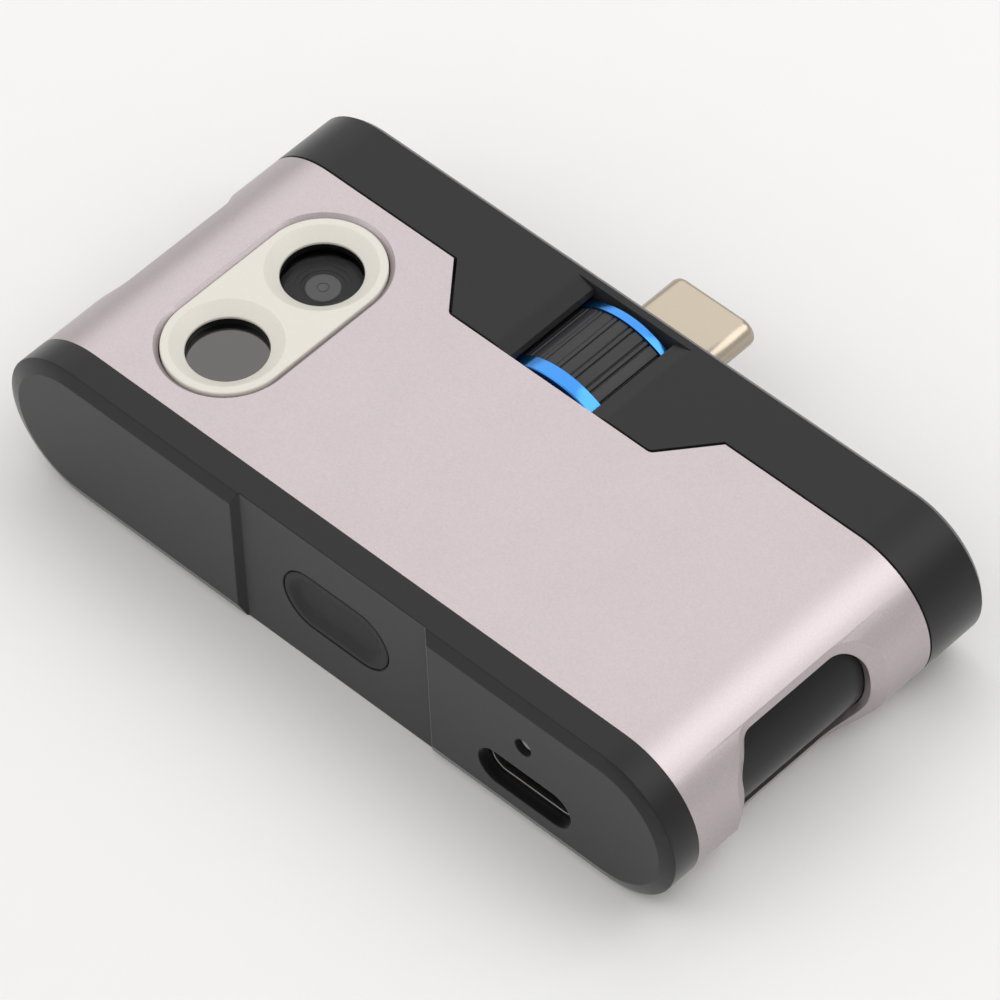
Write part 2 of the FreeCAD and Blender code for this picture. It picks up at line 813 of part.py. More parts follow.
def make_inner_frame():
    """Black tube inside the sleeve: it carries the board and lenses and shows in the finger openings."""
    frame = Body("inner_frame")
    ends = (p.frame_near, p.frame_far)
    frame.pad("XZ_Plane", shell_outline(p.frame_inset), ends)
    frame.pocket("XZ_Plane", shell_outline(p.frame_floor), ends)
    notch = rectangle((-p.journal_width / 2, p.journal_width / 2),
                      (p.dial_near - s.dial_notch_clear, p.plug_wall_in))
    frame.pocket("XY_Plane", notch, (as_size(0), s.body_thick))
    posts = outlines(*[circle(spot, s.boss_width) for spot in board_screw_spots()])
    frame.pad("XY_Plane", posts, (p.frame_floor - s.frame_wall / 2, p.board_low))
    pilots = outlines(*[circle(spot, s.screw_shank) for spot in board_screw_spots()])
    frame.pocket("XY_Plane", pilots, (p.board_low - s.screw_depth, p.board_low))
    hoods = outlines(*[circle((p.lens_x, y), p.hood_width) for y in (p.lens_near, p.lens_far)])
    frame.pad("XY_Plane", hoods, (p.frame_roof, p.frame_top + s.hood_height))
    seats = outlines(*[circle((p.lens_x, y), p.glass_width + s.glass_fit * 2)
                       for y in (p.lens_near, p.lens_far)])
    frame.pocket("XY_Plane", seats, (p.frame_roof, p.glass_top))
    sights = outlines(*[circle((p.lens_x, y), p.lens_hole) for y in (p.lens_near, p.lens_far)])
    frame.pocket("XY_Plane", sights, (p.frame_roof, p.frame_top + s.hood_height))
    return node("inner_frame", frame.body)


def board_screw_spots():
    rows = (p.board_near + s.screw_near_inset, p.board_far - s.screw_far_inset)
    return [(x, y) for x in (p.screw_left, p.screw_right) for y in rows]


def make_port_cap():
    """Black end cap with the power button, the charging port and the status light."""
    cap = Body("port_cap")
    cap.pad("XZ_Plane", shell_outline(as_size(0)), (p.near_face, p.sleeve_near))
    cap.dress("Chamfer", lambda edge: near(edge.BoundBox.YMax, p.near_face),
              Size=s.edge_drop, Size2=s.edge_bevel)
    cap.body.Tip.ChamferType = "Two distances"
    cap.pad("XZ_Plane", shell_outline(p.frame_inset), (p.port_wall_in, p.port_spigot_end))
    hollow = (p.port_wall_in, p.port_spigot_end)
    cap.pocket("XZ_Plane", shell_outline(p.frame_inset + s.spigot_wall), hollow)
    wide = s.button_width / 2 + s.recess_margin
    narrow = wide - s.recess_depth
    floor = p.near_face + s.recess_depth
    recess = polygon((-wide, p.near_face), (wide, p.near_face), (narrow, floor), (-narrow, floor))
    cap.pocket("XY_Plane", recess, (as_size(0), s.body_thick))
    posts = outlines(*[circle(spot, s.button_post_width) for spot in button_screw_spots()])
    cap.pad("XZ_Plane", posts, (p.port_wall_in, p.button_board_near))
    pilots = outlines(*[circle(spot, s.screw_shank) for spot in button_screw_spots()])
    cap.pocket("XZ_Plane", pilots, (p.button_board_near - s.screw_depth, p.button_board_near))
    openings = outlines(button_outline(-s.button_gap),
                        wide_slot(p.port_x, p.port_z, p.slot_width, p.slot_height),
                        circle((p.light_x, p.light_z), s.light_hole))
    cap.pocket("XZ_Plane", openings, (p.near_face, p.port_wall_in))
    return node("port_cap", cap.body)


def wide_slot(x, z, width, height):
    """Outline: a slot that lies along X."""
    reach = (width - height) / 2
    return slot((x - reach, z), (x + reach, z), height)


def button_outline(inset):
    return wide_slot(as_size(0), p.middle, s.button_width - inset * 2, s.button_height - inset * 2)


def button_screw_spots():
    return [(side * (s.button_width / 2 + s.button_screw_reach), p.middle) for side in (-1, 1)]


def make_plug_cap():
    """Black end cap with the tab around the dial on both faces and the plug's slot."""
    cap = Body("plug_cap")
    cap.pad("XZ_Plane", shell_outline(as_size(0)), (p.plug_cap_near, p.far_face))
    cap.dress("Chamfer", lambda edge: near(edge.BoundBox.YMin, p.far_face),
              Size=s.edge_drop, Size2=s.edge_drop)
    cap.pad("XY_Plane", tab_outline(s.seam_gap, p.plug_cap_near), (as_size(0), s.body_thick))
    cap.dress("Fillet", lambda edge: on_tab_tip(edge, s.seam_gap), Radius=s.tab_round)
    cap.pocket("XZ_Plane", shell_outline(s.sleeve_wall), (p.tab_edge, p.plug_spigot_end))
    cap.pad("XZ_Plane", shell_outline(p.frame_inset), (p.plug_spigot_end, p.plug_cap_near))
    inside = p.frame_inset + s.spigot_wall
    cap.pocket("XZ_Plane", shell_outline(inside), (p.plug_spigot_end, p.plug_wall_in))
    cheeks = rectangle((-s.cheek_width / 2, s.cheek_width / 2), (p.retainer_far, p.plug_wall_in))
    cheek_low = p.frame_floor + s.cheek_play
    cap.pad("XY_Plane", cheeks, (cheek_low, s.body_thick - cheek_low))
    dial_room = circle((as_size(0), p.middle), p.dial_width + s.dial_room * 2)
    cap.pocket("XZ_Plane", dial_room, (p.tab_edge, p.plug_wall_in))
    window = rectangle((-s.window_width / 2, s.window_width / 2), (p.tab_edge, p.plug_wall_in))
    cap.pocket("XY_Plane", window, (as_size(0), s.body_thick))
    bearing = circle((as_size(0), p.middle), p.journal_width + s.running_fit * 2)
    cap.pocket("XZ_Plane", bearing, (p.plug_wall_in, p.journal_end + s.journal_end_play))
    plug_slot = wide_slot(as_size(0), p.middle, s.plug_width + s.plug_fit * 2,
                          s.plug_thick + s.plug_fit * 2)
    cap.pocket("XZ_Plane", plug_slot, (p.plug_wall_in, p.far_face))
    pilots = outlines(*[circle(spot, s.screw_shank) for spot in retainer_screw_spots()])
    cap.pocket("XZ_Plane", pilots, (p.retainer_far, p.retainer_far + s.screw_depth))
    scoop_depth = s.scoop_curve - root(s.scoop_curve * s.scoop_curve - s.scoop_width * s.scoop_width / 4)
    centres = ((as_size(0), s.body_thick + s.scoop_curve - scoop_depth),
               (as_size(0), scoop_depth - s.scoop_curve))
    for centre in centres:
        cap.pocket("XZ_Plane", circle(centre, s.scoop_curve * 2), (p.tab_edge, p.plug_wall_in))
    return node("plug_cap", cap.body)


def retainer_screw_spots():
    reach = (p.dial_width / 2 + s.dial_room + s.cheek_width / 2) / 2
    return [(side * reach, p.middle) for side in (-1, 1)]


# ---------------------------------------------------------------- bezel and windows
def make_bezel():
    """Off-white plate with a cone around each of its two holes, glued to the inner frame."""
    plate = Body("bezel_plate")
    low = p.frame_top + s.adhesive_thick
    top = s.body_thick - s.bezel_sink
    plate.pad("XY_Plane", slot((p.lens_x, p.lens_near), (p.lens_x, p.lens_far), p.bezel_width), (low, top))
    tools = []
    seat_width = p.hood_width + s.hood_fit * 2
    hood_top = p.frame_top + s.hood_height + s.hood_fit
    for label, y in (("thermal", p.lens_near), ("camera", p.lens_far)):
        spot = (p.lens_x, y)
        tools += [cone(f"bezel_{label}_cone", "z", spot, (top - s.cone_depth, top),
                       (p.lens_hole, p.cone_width)),
                  rod(f"bezel_{label}_hole", "z", spot, (low, top), p.lens_hole),
                  rod(f"bezel_{label}_seat", "z", spot, (low, hood_top), seat_width)]
    node("lens_bezel", cut("bezel_cut", plate.body, *tools))
    tape = Body("bezel_adhesive")
    tape.pad("XY_Plane", slot((p.lens_x, p.lens_near), (p.lens_x, p.lens_far), p.bezel_width),
             (p.frame_top, low))
    seats = outlines(*[circle((p.lens_x, y), seat_width) for y in (p.lens_near, p.lens_far)])
    tape.pocket("XY_Plane", seats, (p.frame_top, low))
    node("bezel_adhesive", tape.body)
    for label, y in (("thermal_window", p.lens_near), ("camera_window", p.lens_far)):
        node(label, rod(f"{label}_disc", "z", (p.lens_x, y), (p.glass_low, p.glass_top), p.glass_width))


# ---------------------------------------------------------------- dial and sliding plug
def make_dial():
    """Blue dial with two bevelled rims and a threaded bore, its black tread, washer and retainers."""
    axis = (as_size(0), p.middle)
    rim_near, rim_far = p.dial_near + s.near_rim, p.dial_far - s.far_rim
    near_flat, far_flat = p.dial_near + s.dial_bevel, p.dial_far - s.dial_bevel
    narrow = p.dial_width - s.dial_bevel * 2
    solid = fuse("dial_solid",
                 cone("dial_near_bevel", "y", axis, (p.dial_near, near_flat), (narrow, p.dial_width)),
                 rod("dial_near_rim", "y", axis, (near_flat, rim_near), p.dial_width),
                 rod("dial_core", "y", axis, (rim_near, rim_far), p.tread_bore),
                 rod("dial_far_rim", "y", axis, (rim_far, far_flat), p.dial_width),
                 cone("dial_far_bevel", "y", axis, (far_flat, p.dial_far), (p.dial_width, narrow)),
                 rod("dial_journal", "y", axis, (p.dial_far, p.journal_end), p.journal_width))
    bore = rod("dial_bore", "y", axis, (p.dial_near, p.journal_end), p.dial_bore)
    node("dial_ring", cut("dial_cut", solid, bore))
    tread = Body("dial_tread")
    tread.pad("XZ_Plane", outlines(circle(axis, p.tread_width), circle(axis, p.tread_bore)),
              (rim_near, rim_far))
    groove_top = p.middle - p.tread_width / 2 + s.groove_depth
    pair = outlines(*[rectangle((side * s.groove_pitch / 2 - s.groove_width / 2,
                                 side * s.groove_pitch / 2 + s.groove_width / 2),
                                (as_size(0), groove_top)) for side in (-1, 1)])
    groove = tread.pocket("XZ_Plane", pair, (rim_near, rim_far))
    repeat_around(tread, groove, "tread_axis", s.tread_ribs)
    node("dial_tread", tread.body)
    node("dial_washer", ring("washer", "y", axis, (p.retainer_far, p.dial_near), p.journal_width,
                             p.collar_width + s.washer_clear * 2))
    make_retainers(axis)


def repeat_around(body, feature, name, count):
    """Copy a pocket round the dial's axis."""
    line = body.body.newObject("PartDesign::Line", name)
    line.MapMode = "Deactivated"
    bind(line, "Placement.Base.z", p.middle)
    line.Placement.Rotation = AXIS_TURN["y"]
    doc.recompute()
    pattern = body.body.newObject("PartDesign::PolarPattern", f"{name}_pattern")
    pattern.Originals = [feature]
    pattern.Axis = (line, [""])
    pattern.Angle = FULL_TURN
    bind(pattern, "Occurrences", count)
    body.body.Tip = pattern


def make_retainers(axis):
    """Two plates, one on each cheek of the plug cap, that keep the dial in its housing."""
    clear = p.frame_floor + s.cheek_play * 2
    half = s.cheek_width / 2 - s.cheek_play
    ends = (p.retainer_near, p.retainer_far)
    z = (clear, s.body_thick - clear)
    blank = group("retainer_blanks", box("retainer_left", (-half, -s.retainer_inner), ends, z),
                  box("retainer_right", (s.retainer_inner, half), ends, z))
    holes = [rod("retainer_bore", "y", axis, ends, p.collar_width + s.retainer_clear * 2)]
    holes += [rod(f"retainer_screw_hole_{index}", "y", spot, ends, s.screw_shank)
              for index, spot in enumerate(retainer_screw_spots(), start=1)]
    node("dial_retainers", cut("retainer_cut", blank, *holes))
    node("dial_retainer_screws", group("retainer_screw_pair", *[
        screw(f"retainer_screw_{index}", "y", spot, p.retainer_near, s.retainer_thick, 1)
        for index, spot in enumerate(retainer_screw_spots(), start=1)]))


def screw(name, axis, spot, seat, grip, heading):
    """Pan-head screw: its head sits on the seat and its shank runs along the axis by the grip and more."""
    length = (grip + s.screw_depth) * heading
    shank_ends = (seat, seat + length) if heading > 0 else (seat + length, seat)
    head_ends = (seat - s.screw_head_thick, seat) if heading > 0 else (seat, seat + s.screw_head_thick)
    return fuse(name, rod(f"{name}_shank", axis, spot, shank_ends, s.screw_shank),
                rod(f"{name}_head", axis, spot, head_ends, s.screw_head))


def make_plug():
    """Plug with a drawn shell, carried by a threaded collar that rides in the dial's bore."""
    axis = (as_size(0), p.middle)
    shell_near = p.collar_near + s.plug_root
    collar = Body("thread_collar")
    collar.pad("XZ_Plane", circle(axis, p.collar_width), (p.collar_near, p.collar_far))
    collar.pocket("XZ_Plane", wide_slot(*axis, s.plug_width, s.plug_thick), (shell_near, p.collar_far))
    node("thread_collar", collar.body)
    shell = Body("plug_shell")
    inner_width, inner_thick = s.plug_width - s.plug_wall * 2, s.plug_thick - s.plug_wall * 2
    shell.pad("XZ_Plane", wide_slot(*axis, s.plug_width, s.plug_thick), (shell_near, p.plug_tip))
    shell.pocket("XZ_Plane", wide_slot(*axis, inner_width, inner_thick), (shell_near, p.plug_tip))
    shell.dress("Fillet", lambda edge: near(edge.BoundBox.YMin, p.plug_tip) and outer_plug_edge(edge),
                Radius=s.plug_wall / 2)
    node("plug_shell", shell.body)
    block = Body("plug_insulator")
    face = p.plug_tip - s.plug_wall
    block.pad("XZ_Plane", wide_slot(*axis, inner_width, inner_thick), (shell_near, face))
    mouth = rectangle((-s.mouth_width / 2, s.mouth_width / 2),
                      (p.middle - s.mouth_height / 2, p.middle + s.mouth_height / 2))
    block.pocket("XZ_Plane", mouth, (p.plug_tip - s.plug_mouth, face))
    node("plug_insulator", block.body)
    low = p.middle - s.mouth_height / 2
    strips = contact_row("plug_contact", as_size(0), (p.plug_tip - s.plug_mouth, face - s.plug_wall),
                         (low, low + s.contact_thick))
    strips += contact_row("plug_upper_contact", as_size(0), (p.plug_tip - s.plug_mouth, face - s.plug_wall),
                          (low + s.mouth_height - s.contact_thick, low + s.mouth_height))
    node("plug_contacts", group("plug_contact_rows", *strips))


def outer_plug_edge(edge):
    """Whether an edge of the plug's mouth is on the outside of its shell."""
    spot = middle_of(edge)
    reach = (s.plug_width - s.plug_thick).value / 2
    along = min(max(spot.x, -reach), reach)
    return near(math.hypot(spot.x - along, spot.z - p.middle.value), s.plug_thick / 2)


def contact_row(name, centre_x, y, z):
    """A row of evenly spaced contact strips."""
    count = round(s.contact_count.value)
    strips = []
    for index in range(count):
        left = centre_x + s.contact_pitch * (index - (count - 1) / 2) - s.contact_width / 2
        strips.append(box(f"{name}_{index + 1}", (left, left + s.contact_width), y, z))
    return strips


# ---------------------------------------------------------------- charging port, button and light
def make_charging_port():
    """Charging receptacle sunk into a notch in the main board."""
    near_end = p.near_face + s.port_sink
    far_end = near_end + s.port_length
    spot = (p.port_x, p.port_z)
    inner = (s.port_width - s.port_wall * 2, s.port_height - s.port_wall * 2)
    shell = Body("port_shell_tube")
    shell.pad("XZ_Plane", wide_slot(*spot, s.port_width, s.port_height), (near_end, far_end))
    shell.pocket("XZ_Plane", wide_slot(*spot, *inner), (near_end, far_end))
    half = s.port_width / 2
    ear_near = far_end - s.ear_width * 2
    ears = [box(f"port_ear_{label}", (p.port_x + low, p.port_x + high), (ear_near, ear_near + s.ear_width),
                (p.board_top, p.board_top + s.ear_thick))
            for label, low, high in (("left", -half - s.ear_reach, -half + s.port_wall),
                                     ("right", half - s.port_wall, half + s.ear_reach))]
    node("charging_port_shell", fuse("port_shell_with_ears", shell.body, *ears))
    core = Body("port_core")
    core.pad("XZ_Plane", wide_slot(*spot, *inner), (far_end - s.port_back, far_end))
    tongue_half = s.port_width / 2 - s.tongue_inset
    tongue = rectangle((p.port_x - tongue_half, p.port_x + tongue_half),
                       (p.port_z - s.tongue_thick / 2, p.port_z + s.tongue_thick / 2))
    tip = near_end + s.tongue_sink
    core.pad("XZ_Plane", tongue, (tip, far_end - s.port_back))
    node("charging_port_tongue", core.body)
    top = p.port_z + s.tongue_thick / 2
    node("charging_port_contacts", group("port_contact_row", *contact_row(
        "port_contact", p.port_x, (tip + s.contact_pitch, far_end - s.port_back),
        (top, top + s.contact_thick))))


def make_power_button():
    """Dished button behind its opening, the switch it presses and the small board that holds it."""
    face = p.near_face + s.recess_depth
    flange_far = p.port_wall_in + s.flange_thick
    switch_near = p.button_board_near - s.switch_body
    actuator_near = switch_near - s.actuator_rise
    button = Body("power_button")
    button.pad("XZ_Plane", button_outline(as_size(0)), (face, p.port_wall_in))
    button.pad("XZ_Plane", button_outline(-s.button_flange), (p.port_wall_in, flange_far))
    button.pad("XZ_Plane", circle((as_size(0), p.middle), s.stem_width), (flange_far, actuator_near))
    dish = button.pocket("XZ_Plane", button_outline(s.button_rim), (face, face + s.button_dish))
    bind(dish, "TaperAngle", -s.button_slope)
    node("power_button", button.body)
    middle = (as_size(0), p.middle)
    node("switch_actuator", rod("switch_actuator_pin", "y", middle,
                                (actuator_near, switch_near + s.button_travel), s.actuator_width))
    half = s.switch_width / 2
    body = box("switch_block", (-half, half), (switch_near, p.button_board_near),
               (p.middle - half, p.middle + half))
    pit = rod("switch_pit", "y", middle, (switch_near, p.button_board_near),
              s.actuator_width + s.running_fit * 2)
    node("tact_switch", cut("switch_cut", body, pit))
    board = Body("button_board")
    low, high = s.button_board_inset, s.body_thick - s.button_board_inset
    shelf = p.port_z + s.port_height / 2 + s.shelf_rise
    step = p.port_x - s.port_width / 2 - s.shelf_room
    right = p.light_x + s.shelf_past_light
    board.pad("XZ_Plane", polygon((p.button_board_left, low), (step, low), (step, shelf), (right, shelf),
                                  (right, high), (p.button_board_left, high)),
              (p.button_board_near, p.button_board_far))
    board.pocket("XZ_Plane", outlines(*[circle(spot, s.screw_shank) for spot in button_screw_spots()]),
                 (p.button_board_near, p.button_board_far))
    node("button_board", board.body)
    node("button_board_screws", group("button_screw_pair", *[
        screw(f"button_screw_{index}", "y", spot, p.button_board_far, s.button_board_thick, -1)
        for index, spot in enumerate(button_screw_spots(), start=1)]))
    make_light()


def make_light():
    """Status light: a lamp on the button board behind a clear pipe."""
    half = s.led_width / 2
    lamp_near = p.button_board_near - s.led_thick
    node("status_led", box("status_lamp", (p.light_x - half, p.light_x + half),
                           (lamp_near, p.button_board_near), (p.light_z - half, p.light_z + half)))
    node("light_pipe", rod("light_pipe_rod", "y", (p.light_x, p.light_z),
                           (p.near_face + s.light_sink, lamp_near), s.light_hole - s.light_fit * 2))


# ---------------------------------------------------------------- main board and battery
def make_main_board():
    """Main board on four posts, notched for the charging port, with its chips, cans and connectors."""
    reach = p.straight_half + s.board_overrun
    blank = box("board_blank", (-reach, reach), (p.board_near, p.board_far), (p.board_low, p.board_top))
    half = s.port_width / 2 + s.board_notch_gap
    notch_far = p.near_face + s.port_sink + s.port_length + s.board_notch_gap
    notch = box("board_notch", (p.port_x - half, p.port_x + half), (p.board_near, notch_far),
                (p.board_low, p.board_top))
    holes = [rod(f"board_hole_{index}", "z", spot, (p.board_low, p.board_top), s.screw_shank)
             for index, spot in enumerate(board_screw_spots(), start=1)]
    node("main_board", cut("board_cut", blank, notch, *holes))
    node("board_screws", group("board_screw_set", *[
        screw(f"board_screw_{index}", "z", spot, p.board_top, s.board_thick, -1)
        for index, spot in enumerate(board_screw_spots(), start=1)]))
    make_cans()
    connectors = [box(f"connector_{label}", (x - s.connector_width / 2, x + s.connector_width / 2),
                      (y, y + s.connector_depth), (p.board_top, p.board_top + s.connector_height))
                  for label, (x, y) in connector_spots().items()]
    node("board_connectors", group("connector_set", *connectors))


def connector_spots():
    """Middle in X and near edge in Y of each connector on the main board."""
    row = p.board_far - s.connector_depth
    left_x = (p.screw_left - s.plug_connector_room) / 2
    return {
        "plug": (as_size(0), row),
        "camera": (left_x, row),
        "battery": (p.screw_right - s.battery_connector_room, row),
        "button": (left_x, p.board_near),
    }


def make_cans():
    """Two metal shield cans with the chips that they cover."""
    spans = {
        "processor_shield": (p.can_left, p.can_split - s.can_space / 2),
        "power_shield": (p.can_split + s.can_space / 2, p.can_right),
    }
    chips = {"processor_shield": "processor_chip", "power_shield": "power_chip"}
    for name, (left, right) in spans.items():
        outside = box(f"{name}_outside", (left, right), (p.can_near, p.can_far), (p.board_top, p.can_top))
        inside = box(f"{name}_inside", (left + s.can_wall, right - s.can_wall),
                     (p.can_near + s.can_wall, p.can_far - s.can_wall),
                     (p.board_top, p.can_top - s.can_wall))
        node(name, cut(f"{name}_can", outside, inside))
        node(chips[name], box(f"{name}_chip", (left + s.chip_side_gap, right - s.chip_side_gap),
                              (p.can_near + s.chip_end_gap, p.can_far - s.chip_end_gap),
                              (p.board_top, p.board_top + s.chip_height)))


def make_battery():
    """Flat cell between two foam pads over the shield cans."""
    node("battery", box("battery_cell", (p.screw_left + s.battery_left_gap, p.straight_half),
                        (p.board_near + s.battery_near_inset, p.battery_far),
                        (p.battery_low, p.battery_top)))
    pads = [box("battery_pad_left", (p.can_left, p.can_split - s.can_space / 2), (p.can_near, p.can_far),
                (p.can_top, p.battery_low)),
            box("battery_pad_right", (p.can_split + s.can_space / 2, p.can_right), (p.can_near, p.can_far),
                (p.can_top, p.battery_low)),
            box("battery_pad_top", (p.can_left, p.can_right), (p.can_near, p.can_far),
                (p.battery_top, p.frame_roof))]
    node("battery_pads", group("battery_pad_set", *pads))


# ---------------------------------------------------------------- thermal core
def make_thermal_core():
    """Thermal core on its socket: base board, sensor, housing, lens barrel, lens and shutter."""
    centre = (p.lens_x, p.lens_near)
    half = p.core_width / 2
    square = square_about(centre, half)
    socket = box("socket_outside", *square_about(centre, half), (p.board_top, p.core_board_low))
    well = box("socket_well", *square_about(centre, half - s.socket_wall), (p.board_top, p.core_board_low))
    node("core_socket", cut("socket_cut", socket, well))
    node("core_base_board", box("core_board", *square, (p.core_board_low, p.core_low)))
    node("core_sensor", box("sensor_die", *square_about(centre, p.sensor_width / 2),
                            (p.core_low, p.core_low + s.sensor_thick)))
    top = p.glass_low - s.core_head_room
    outside = box("core_outside", *square, (p.core_low, top))
    inside = box("core_inside", *square_about(centre, half - s.core_wall), (p.core_low, top - s.core_wall))
    barrel_top = p.glass_low - s.barrel_gap
    barrel_low = p.core_low + s.barrel_lift
    mouth = rod("core_mouth", "z", centre, (p.core_low, top), p.barrel_width)
    node("core_housing", cut("core_cut", outside, inside, mouth))
    node("core_lens_barrel", ring("lens_barrel", "z", centre, (barrel_low, barrel_top),
                                  p.barrel_width, p.barrel_bore))
    lens_top = barrel_top - s.core_lens_sink
    node("core_lens", rod("germanium_lens", "z", centre, (lens_top - s.core_lens_thick, lens_top),
                          p.barrel_bore))
    make_shutter(centre, barrel_low, top - s.core_wall)


def square_about(centre, half):
    """Low and high stations in X and in Y of a square about a spot."""
    return tuple((middle - half, middle + half) for middle in centre)


def make_shutter(centre, barrel_low, roof):
    """Shutter blade parked beside the sensor, its fixed pin and the coil that swings it."""
    reach = p.shutter_arm / math.sqrt(2)
    pivot = (centre[0] - reach, centre[1] - reach)
    high = barrel_low - s.shutter_clear
    low = high - s.shutter_thick
    heading = as_size(DIAGONAL) - s.shutter_swing
    along, across = turned(p.shutter_arm, heading)
    disc_centre = (pivot[0] + along, pivot[1] + across)
    blade = doc.addObject("Part::Box", "shutter_arm")
    bind(blade, "Length", p.shutter_arm)
    bind(blade, "Width", s.shutter_arm_width)
    bind(blade, "Height", s.shutter_thick)
    blade.Placement.Rotation = FreeCAD.Rotation(FreeCAD.Vector(0, 0, 1), heading.value)
    bind(blade, "Placement.Rotation.Angle", heading)
    side_x, side_y = turned(s.shutter_arm_width / 2, heading)
    bind(blade, "Placement.Base.x", pivot[0] + side_y)
    bind(blade, "Placement.Base.y", pivot[1] - side_x)
    bind(blade, "Placement.Base.z", low)
    whole = fuse("shutter_solid", blade, rod("shutter_disc", "z", disc_centre, (low, high), s.shutter_disc),
                 rod("shutter_hub", "z", pivot, (low, high), s.shutter_hub))
    eye = rod("shutter_eye", "z", pivot, (low, high), s.pin_width + s.running_fit * 2)
    node("shutter_flag", cut("shutter_cut", whole, eye))
    node("shutter_pin", rod("shutter_axle", "z", pivot, (p.core_low, roof), s.pin_width))
    corner = p.core_width / 2 - s.core_wall - s.coil_gap - s.coil_width / 2
    coil = (centre[0] + corner, centre[1] + corner)
    node("shutter_coil", rod("coil_body", "z", coil, (p.core_low, roof - s.coil_head_room), s.coil_width))


# ---------------------------------------------------------------- visible camera
def make_camera():
    """Visible-light camera on its bracket: board, housing, eye tube and front lens."""
    centre = (p.lens_x, p.lens_far)
    square = square_about(centre, p.camera_width / 2)
    node("camera_bracket", box("bracket_block", square[0], (square[1][0], p.board_far),
                               (p.board_top, p.camera_board_low)))
    node("camera_board", box("camera_board_plate", *square, (p.camera_board_low, p.camera_low)))
    eye_top = p.glass_low - s.eye_gap
    top = eye_top - s.eye_height
    outside = box("camera_outside", *square, (p.camera_low, top))
    inside = box("camera_inside", *square_about(centre, p.camera_width / 2 - s.camera_wall),
                 (p.camera_low, top - s.camera_wall))
    hole = rod("camera_mouth", "z", centre, (p.camera_low, top), p.eye_pupil)
    node("camera_housing", cut("camera_cut", outside, inside, hole))
    node("camera_eye", ring("eye_tube", "z", centre, (top, eye_top), p.eye_width, p.eye_pupil))
    node("camera_lens", rod("camera_lens_disc", "z", centre, (top, top + s.eye_lens), p.eye_pupil))


# ---------------------------------------------------------------- flexible leads
def strip(name, *runs):
    """A flat lead made of straight runs that share their bends."""
    boxes = [box(f"{name}_run_{index}", *run) for index, run in enumerate(runs, start=1)]
    return boxes[0] if len(boxes) == 1 else fuse(name, *boxes)


def make_leads():
    """Leads from the main board to the plug, the camera, the battery and the button board."""
    spots = connector_spots()
    thick, half = s.flex_thick, s.flex_width / 2
    lead_top = p.board_top + s.connector_height
    wide = (-half, half)
    drop = p.board_far + s.flex_gap
    level = p.middle - s.plug_thick / 2
    node("plug_flex", strip("plug_lead",
                            (wide, (p.board_far - s.connector_depth, drop), (lead_top, lead_top + thick)),
                            (wide, (drop - thick, drop), (lead_top, level)),
                            (wide, (drop - thick, p.collar_near), (level - thick, level))))
    camera_x, camera_y = spots["camera"]
    side = p.lens_x + p.camera_width / 2
    width = (camera_y, camera_y + s.connector_depth)
    node("camera_flex", strip("camera_lead",
                              ((side, side + thick * 2), width, (p.camera_board_low, p.camera_low)),
                              ((side + thick, side + thick * 2), width, (lead_top, p.camera_low)),
                              ((side + thick, camera_x), width, (lead_top, lead_top + thick))))
    battery_x, battery_y = spots["battery"]
    tab = (battery_x - half, battery_x + half)
    bend = battery_y + thick
    node("battery_lead", strip("battery_tab",
                               (tab, (p.battery_far, bend), (p.battery_low, p.battery_low + thick)),
                               (tab, (battery_y, bend), (lead_top, p.battery_low + thick)),
                               (tab, (battery_y, battery_y + s.connector_depth),
                                (lead_top, lead_top + thick))))
    button_x, button_y = spots["button"]
    link = (button_x - half, button_x + half)
    node("button_flex", strip("button_lead",
                              (link, (p.button_board_far, button_y + s.connector_depth),
                               (lead_top, lead_top + thick))))


# ---------------------------------------------------------------- build and export
def check_document():
    """Stop if any object failed or any finished piece is missing or broken."""
    failed = [thing.Name for thing in doc.Objects if {"Invalid", "Error"} & set(thing.State)]
    if failed:
        raise RuntimeError(f"features that failed: {failed}")
    for name, piece in node_objects.items():
        if piece.Shape.isNull() or not piece.Shape.isValid() or not piece.Shape.Solids:
            raise RuntimeError(f"{name} is not a sound solid")


def main():
    make_sleeve()
    make_inner_frame()
    make_port_cap()
    make_plug_cap()
    make_bezel()
    make_dial()
    make_plug()
    make_charging_port()
    make_power_button()
    make_main_board()
    make_battery()
    make_thermal_core()
    make_camera()
    make_leads()
    doc.recompute()
    check_document()
    os.makedirs("parts", exist_ok=True)
    for name, piece in node_objects.items():
        piece.Shape.exportStep(f"parts/{name}.step")
    print(f"{len(node_objects)} nodes written")


main()
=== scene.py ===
"""Looks of a pocket thermal camera: casing, lens bezel, dial, sliding plug, button, port and studio."""

import math
from typing import NamedTuple

import bmesh
import bpy
from mathutils import Matrix, Vector


